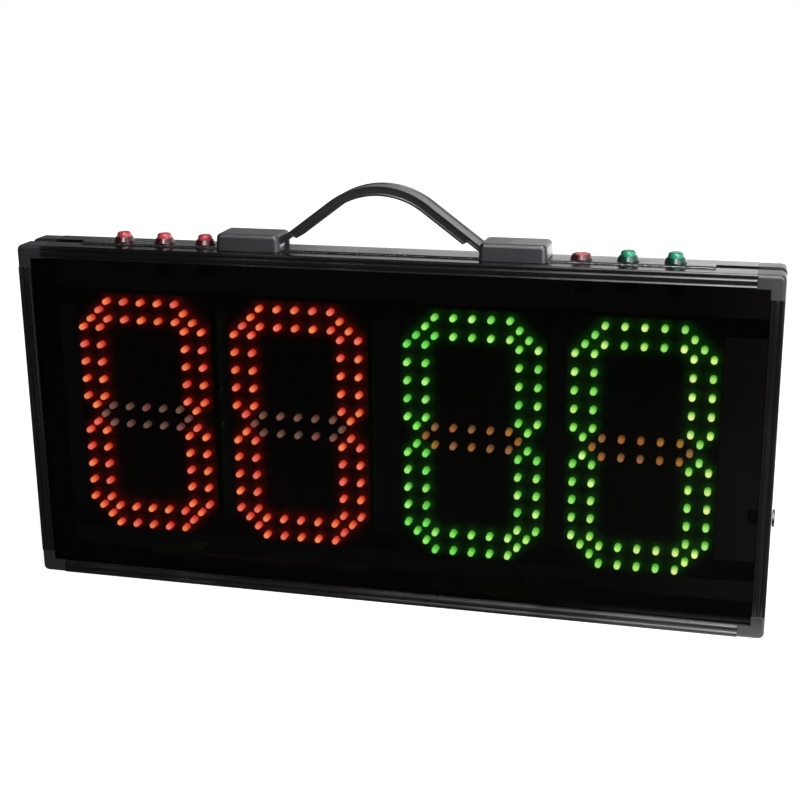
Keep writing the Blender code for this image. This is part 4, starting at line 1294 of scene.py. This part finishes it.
@dataclass
class Handle:
    """A moulded strap with raised borders, held under a snap-on cover at each end."""

    middle_x: float = -0.0024
    frame_top: float = 0.2935
    crown_radius: float = 0.0673
    crown_height: float = 0.0552
    lean: float = math.radians(36.7)
    width: float = 0.021
    thickness: float = 0.0078
    slice_width: float = 0.0005
    arch_steps: int = 14
    foot_steps: int = 6
    strap_edge: float = 0.0003
    neck: float = 0.0042
    border: float = 0.0024
    border_height: float = 0.0006
    lip: float = 0.0014
    channel: float = 0.0006
    foot_radius: float = 0.011
    tail_top: float = 0.3022
    cover_inner: float = 0.0815
    step_before_cover: float = 0.011
    step_length: float = 0.0016
    tail: float = 0.026
    cover_wall: float = 0.002
    cover_draft: float = 0.0006
    cover_corner: float = 0.0045
    corner_steps: int = 7
    cover_crown: float = 0.0034
    crown_steps: int = 6
    cover_edge: float = 0.00025
    cover_play: float = 0.0003
    base_thickness: float = 0.0018
    base_mouth: float = 0.0103
    smooth_angle: float = 40.0

    def build(self) -> None:
        """Build the strap and both covers, and finish what lies under them."""
        self.build_strap()
        for word, inward in (("left", 1.0), ("right", -1.0)):
            self.build_cover(word, inward)
            paint(Finishes.PLATED, f"handle_base_{word}", f"handle_nut_plate_{word}")
        paint(Finishes.PLATED, *(f"handle_screw_{number}" for number in range(1, 5)))

    def build_strap(self) -> None:
        """Draw the strap's section along its arch, half of it, and mirror it."""
        top = self.frame_top + self.crown_height
        sine, cosine = math.sin(self.lean), math.cos(self.lean)
        along = Vector((cosine, 0.0, -sine))
        end_x = self.crown_radius * sine
        end_z = top - self.crown_radius + self.crown_radius * cosine
        foot_z = self.tail_top + self.foot_radius * (1 - cosine)
        foot_x = end_x + (end_z - foot_z) / math.tan(self.lean)
        step_x = self.cover_inner - self.step_before_cover * cosine
        tail_x = foot_x + self.foot_radius * sine
        piece = Workpiece.block(
            "carrying_strap", (self.middle_x - self.slice_width, -self.width / 2,
                               top - self.thickness),
            (self.middle_x, self.width / 2, top))
        with piece.editing():
            self.shape_section(piece, top)
            piece.pick(Pick.FACES, lambda place, normal: normal.x > 0.9)
            self.bend(self.arch_steps, -self.lean, self.middle_x, top - self.crown_radius)
            for _ in range(2):
                piece.push(along * ((step_x - end_x) / cosine) * 0.5)
            self.thin_out(piece, along)
            piece.push(along * ((foot_x - step_x - self.step_length) / cosine))
            self.bend(self.foot_steps, self.lean, self.middle_x + tail_x,
                      foot_z + self.foot_radius * cosine)
            piece.push((self.cover_inner + self.tail - tail_x, 0.0, 0.0))
            bpy.ops.mesh.select_all(action="SELECT")
            bpy.ops.mesh.bisect(
                plane_co=(self.middle_x, 0.0, 0.0), plane_no=(1.0, 0.0, 0.0),
                clear_inner=True, clear_outer=False)
        self.mirror(piece)
        piece.weld()
        piece.ease(self.strap_edge, 40.0)
        piece.hand_over(Finishes.STRAP, BOARD_BODY, "handle_strap", self.smooth_angle)

    def bend(self, steps: int, angle: float, x: float, z: float) -> None:
        """Draw the selected faces round a line along Y, at some X and height."""
        bpy.ops.mesh.spin(steps=steps, angle=angle, center=(x, 0.0, z), axis=(0.0, 1.0, 0.0))

    def shape_section(self, piece: Workpiece, top: float) -> None:
        """Give the section its borders, its sunk middle and the channels at its sides.

        Args:
            piece: The strap, a thin slice so far.
            top: The height of its top.
        """
        half = self.width / 2
        inner = half - self.border
        sunk = inner - self.border_height
        heights = [z for depth in (self.lip, self.lip + self.channel)
                   for z in (top - depth, top - self.thickness + depth)]
        self.score(heights, UP)
        reach = self.thickness / 2 - self.lip - self.channel + WELD
        for side in (-1, 1):
            piece.shift((0.0, -side * self.channel, 0.0), lambda place: (
                abs(place.y - side * half) < WELD
                and abs(place.z - top + self.thickness / 2) < reach))
        self.score((-inner, -sunk, sunk, inner), Vector((0.0, 1.0, 0.0)))
        piece.shift((0.0, 0.0, -self.border_height), lambda place: (
            abs(place.y) <= sunk + WELD and abs(place.z - top) < WELD))

    def score(self, places: Sequence[float], axis: Vector) -> None:
        """Cut the mesh, in edit mode, at some places along an axis.

        Args:
            places: Where it is cut.
            axis: The axis.
        """
        for place in places:
            bpy.ops.mesh.select_all(action="SELECT")
            bpy.ops.mesh.bisect(plane_co=axis * place, plane_no=axis)

    def thin_out(self, piece: Workpiece, along: Vector) -> None:
        """Step the strap from its full thickness to its neck, from below.

        Args:
            piece: The strap, with its open end selected.
            along: The direction of its run.
        """
        piece.push(along * (self.step_length / math.cos(self.lean)))
        shape = bmesh.from_edit_mesh(piece.obj.data)
        outward = Vector((math.sin(self.lean), 0.0, math.cos(self.lean)))
        chosen = [corner for corner in shape.verts if corner.select]
        lowest = min(corner.co.dot(outward) for corner in chosen)
        for corner in chosen:
            if corner.co.dot(outward) < lowest + self.thickness / 3:
                corner.co += outward * (self.thickness - self.neck)
        bmesh.update_edit_mesh(piece.obj.data)

    def mirror(self, piece: Workpiece) -> None:
        """Mirror the half strap about the handle's middle.

        Args:
            piece: The half strap.
        """
        helper = bring_in("middle", None)
        helper.location = (self.middle_x, 0.0, 0.0)
        bpy.context.view_layer.update()
        piece.modify("MIRROR", use_axis=(True, False, False), mirror_object=helper,
                     use_clip=True, merge_threshold=WELD * 10)
        bpy.data.objects.remove(helper, do_unlink=True)

    def build_cover(self, word: str, inward: float) -> None:
        """Mould one cover: drafted sides, round edges, a hollow and the strap's mouth.

        Args:
            word: Which end it is.
            inward: The direction of the strap along X.
        """
        node = f"handle_cover_{word}"
        low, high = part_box(node)
        centre = (low + high) / 2
        size = high - low
        piece = Workpiece.block(f"handle_end_{word}", low, high)
        with piece.editing():
            piece.pick(Pick.FACES, lambda place, normal: normal.z > 0.9)
            bpy.ops.transform.resize(
                value=(1 - 2 * self.cover_draft / size.x, 1 - 2 * self.cover_draft / size.y, 1.0),
                center_override=(centre.x, centre.y, high.z))
            piece.pick(Pick.EDGES, lambda place, run: abs(run.z) > 0.9)
            bpy.ops.mesh.bevel(
                offset=self.cover_corner, segments=self.corner_steps, profile=0.5, affect="EDGES")
            piece.pick(Pick.EDGES, lambda place, run: (
                abs(place.z - high.z) < WELD and abs(run.z) < 0.1))
            bpy.ops.mesh.bevel(
                offset=self.cover_crown, segments=self.crown_steps, profile=0.5, affect="EDGES")
        wall = self.cover_wall
        ceiling = high.z - wall
        inside = self.cover_corner - wall
        piece.cut((low.x + wall, low.y + wall, low.z - wall - inside),
                  (high.x - wall, high.y - wall, ceiling), inside)
        for toward, mouth, roof in (
                (inward, self.width / 2 + self.cover_play, ceiling - self.cover_play),
                (-inward, self.base_mouth, self.frame_top + self.base_thickness)):
            ends = sorted((centre.x, centre.x + toward * size.x))
            piece.cut((ends[0], -mouth, low.z - wall), (ends[1], mouth, roof))
        piece.ease(self.cover_edge)
        piece.hand_over(Finishes.HANDLE, BOARD_BODY, node, self.smooth_angle)


@dataclass
class Power:
    """Charging socket, battery pack and controller board."""

    flange_radius: float = 0.00725
    flange_height: float = 0.002
    flange_edge: float = 0.0005
    edge_middle: tuple[float, float] = (0.00015, 0.0002)
    barrel_radius: float = 0.0053
    barrel_length: float = 0.019
    bore_radius: float = 0.0028
    bore_depth: float = 0.0095
    bore_rim: float = 0.0022
    slope: float = 0.0004
    pin_radius: float = 0.00105
    pin_recess: float = 0.0012
    pin_edge: float = 0.0003
    sides: int = 36
    socket_smooth_angle: float = 35.0
    battery_edge: float = 0.0012
    battery_edge_angle: float = 60.0
    battery_smooth_angle: float = 40.0

    def build(self) -> None:
        """Build the socket and the battery and finish the parts inside."""
        self.build_socket()
        piece = Workpiece.copy_of("battery_pack", "battery_cells")
        piece.ease(self.battery_edge, self.battery_edge_angle, 3)
        piece.hand_over(Finishes.WRAP, BOARD_BODY, "battery_pack", self.battery_smooth_angle)
        paint(Finishes.PLATED, "charging_socket_nut", "battery_clip_left", "battery_clip_right")
        # the mounting bars are painted dark as shade
        paint(Finishes.SHADE_DARK_BAR, "upper_mounting_bar", "lower_mounting_bar")
        paint(Finishes.BOARD, "controller_board")

    def build_socket(self) -> None:
        """Turn the socket upright, with its bore and centre pin, and lay it on its side."""
        low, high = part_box("charging_socket")
        barrel = self.barrel_length
        top = barrel + self.flange_height
        middle_in, middle_down = self.edge_middle
        bore, pin = self.bore_radius, self.pin_radius
        pin_top = top - self.pin_recess
        piece = Workpiece.turned("power_socket", ORIGIN, self.sides, [
            (self.barrel_radius, 0.0), (self.barrel_radius, barrel),
            (self.flange_radius, barrel), (self.flange_radius, top - self.flange_edge),
            (self.flange_radius - middle_in, top - middle_down),
            (self.flange_radius - self.flange_edge, top), (bore + self.bore_rim, top),
            (bore + self.bore_rim - self.slope, top - self.slope),
            (bore + self.slope, top - self.slope), (bore, top - 2 * self.slope),
            (bore, top - self.bore_depth), (pin, top - self.bore_depth),
            (pin, pin_top - self.pin_edge), (pin - self.pin_edge, pin_top)])
        piece.obj.rotation_euler = (0.0, math.pi / 2, 0.0)
        piece.obj.location = (high.x - top, (low.y + high.y) / 2, (low.z + high.z) / 2)
        piece.settle()
        piece.hand_over(Finishes.SOCKET, BOARD_BODY, "charging_socket", self.socket_smooth_angle)


@dataclass
class Studio:
    """Camera, lamps, world and floor."""

    place: Point = (0.30835, -1.13717, 0.52575)
    right: Point = (0.968269, 0.249670, -0.010960)
    up: Point = (-0.061849, 0.281895, 0.957449)
    back: Point = (0.242136, -0.926391, 0.288392)
    lens: float = 67.27
    sensor: float = 36.0
    near_clip: float = 0.01
    floor_reach: float = 6.0
    floor_drop: float = 0.0005
    floor_tones: tuple[float, float] = (0.86, 0.88)
    mirrored_floor: float = 0.16
    foot_glow: float = 4.0
    floor_glow: float = 0.85
    softness: float = math.radians(50.0)
    panel_size: float = 0.3
    plain_share: float = 0.75
    window_glow: float = 21.0

    def build(self) -> None:
        """Set up everything round the board."""
        self.aim_camera()
        self.lay_floor()
        self.hang_world()
        self.hang("key_light", "SUN", (1.3, -1.1, 1.5), (0.0, 0.0, 0.16),
                  energy=0.9, angle=self.softness)
        self.hang("side_light", "AREA", (0.52, -0.42, 0.42), (0.2, 0.0, 0.2),
                  energy=4.5, size=self.panel_size)
        bpy.context.scene.view_settings.view_transform = "Standard"

    def aim_camera(self) -> None:
        """Place the camera at the photograph's angle."""
        camera = bpy.data.cameras.new("camera")
        camera.lens = self.lens
        camera.sensor_width = self.sensor
        camera.clip_start = self.near_clip
        obj = bring_in("camera", camera)
        turn = Matrix((self.right, self.up, self.back)).transposed().to_4x4()
        obj.matrix_world = Matrix.Translation(self.place) @ turn
        bpy.context.scene.camera = obj

    def lay_floor(self) -> None:
        """Lay the pale floor, which keeps the board's shadow.

        Gloss sees it darker, with a bright strip at the board's foot on the right.
        """
        clear_bench()
        bpy.ops.mesh.primitive_plane_add(
            size=2 * self.floor_reach, location=(0.0, 0.0, -self.floor_drop))
        floor = bpy.context.object
        floor.name = "floor"
        material = bpy.data.materials.new("floor_white")
        material.use_nodes = True
        material.cycles.emission_sampling = "NONE"
        graph = Graph(material.node_tree)
        straight, mirrored = graph.sight()
        tone = graph.noise(graph.place(), 3.0, 2.0)
        pale = graph.mix(tone, *(rgba((value,) * 3) for value in self.floor_tones))
        where = graph.axes(graph.place())
        foot = graph.times(
            graph.spread(where["X"], 0.10, 0.36), graph.spread(where["Y"], -0.06, -0.045))
        seen = graph.math("MAXIMUM", straight, graph.times(foot, self.foot_glow, mirrored))
        graph.feed(material.node_tree.nodes["Principled BSDF"], {
            "Roughness": 0.9, "Specular IOR Level": 0.0,
            "Base Color": graph.mix(mirrored, pale, rgba((self.mirrored_floor,) * 3)),
            "Emission Color": graph.grey(seen), "Emission Strength": self.floor_glow})
        floor.data.materials.append(material)

    def hang_world(self) -> None:
        """Hang a white backdrop, dark overhead and to the left.

        Gloss also sees a narrow window in front, and the right side brighter.
        """
        world = bpy.data.worlds.new("studio")
        bpy.context.scene.world = world
        world.use_nodes = True
        graph = Graph(world.node_tree)
        straight, mirrored = graph.sight()
        where = graph.axes(graph.node("ShaderNodeTexCoord").outputs["Generated"])
        shade = graph.times(
            graph.spread(where["X"], -0.55, 0.05, 0.08, 1.0),
            graph.spread(where["Z"], 0.30, 0.75, 1.0, 0.15))
        gain = graph.times(
            graph.spread(where["X"], -0.35, -0.26, 1.0, 1.55),
            graph.spread(where["Y"], -0.4, 0.5, 0.35, 1.0))
        gain = graph.times(mirrored, graph.math("SUBTRACT", gain, self.plain_share))
        shade = graph.times(shade, graph.math("ADD", gain, self.plain_share))
        window = graph.times(
            graph.spread(where["X"], -0.11, -0.01), graph.spread(where["Y"], 0.3, 0.0),
            graph.spread(where["Z"], 0.3, 0.6), graph.spread(where["X"], 0.35, 0.1),
            mirrored, self.window_glow)
        value = graph.math("MAXIMUM", graph.math("ADD", shade, window), straight)
        graph.feed(world.node_tree.nodes["Background"], {
            "Color": graph.grey(value), "Strength": 1.0})

    def hang(self, name: str, kind: str, place: Point, target: Point,
             **settings: float) -> None:
        """Hang one lamp and turn it to a point.

        Args:
            name: The lamp's name.
            kind: A far sun or a square panel.
            place: Where it hangs.
            target: The point that it looks at.
            settings: Its power and its size or softness.
        """
        lamp = bpy.data.lights.new(name, kind)
        for key, value in settings.items():
            setattr(lamp, key, value)
        obj = bring_in(name, lamp)
        obj.location = place
        obj.rotation_euler = (Vector(target) - Vector(place)).to_track_quat("-Z", "Y").to_euler()


def main() -> None:
    """Build the studio and every sub-assembly of the board, in order."""
    logging.basicConfig(level=logging.INFO, format="%(message)s")
    for assembly in (Studio(), Frame(), Display(), Controls(), Handle(), Power()):
        LOG.info("building %s", type(assembly).__name__)
        assembly.build()


if __name__ == "__main__":
    main()
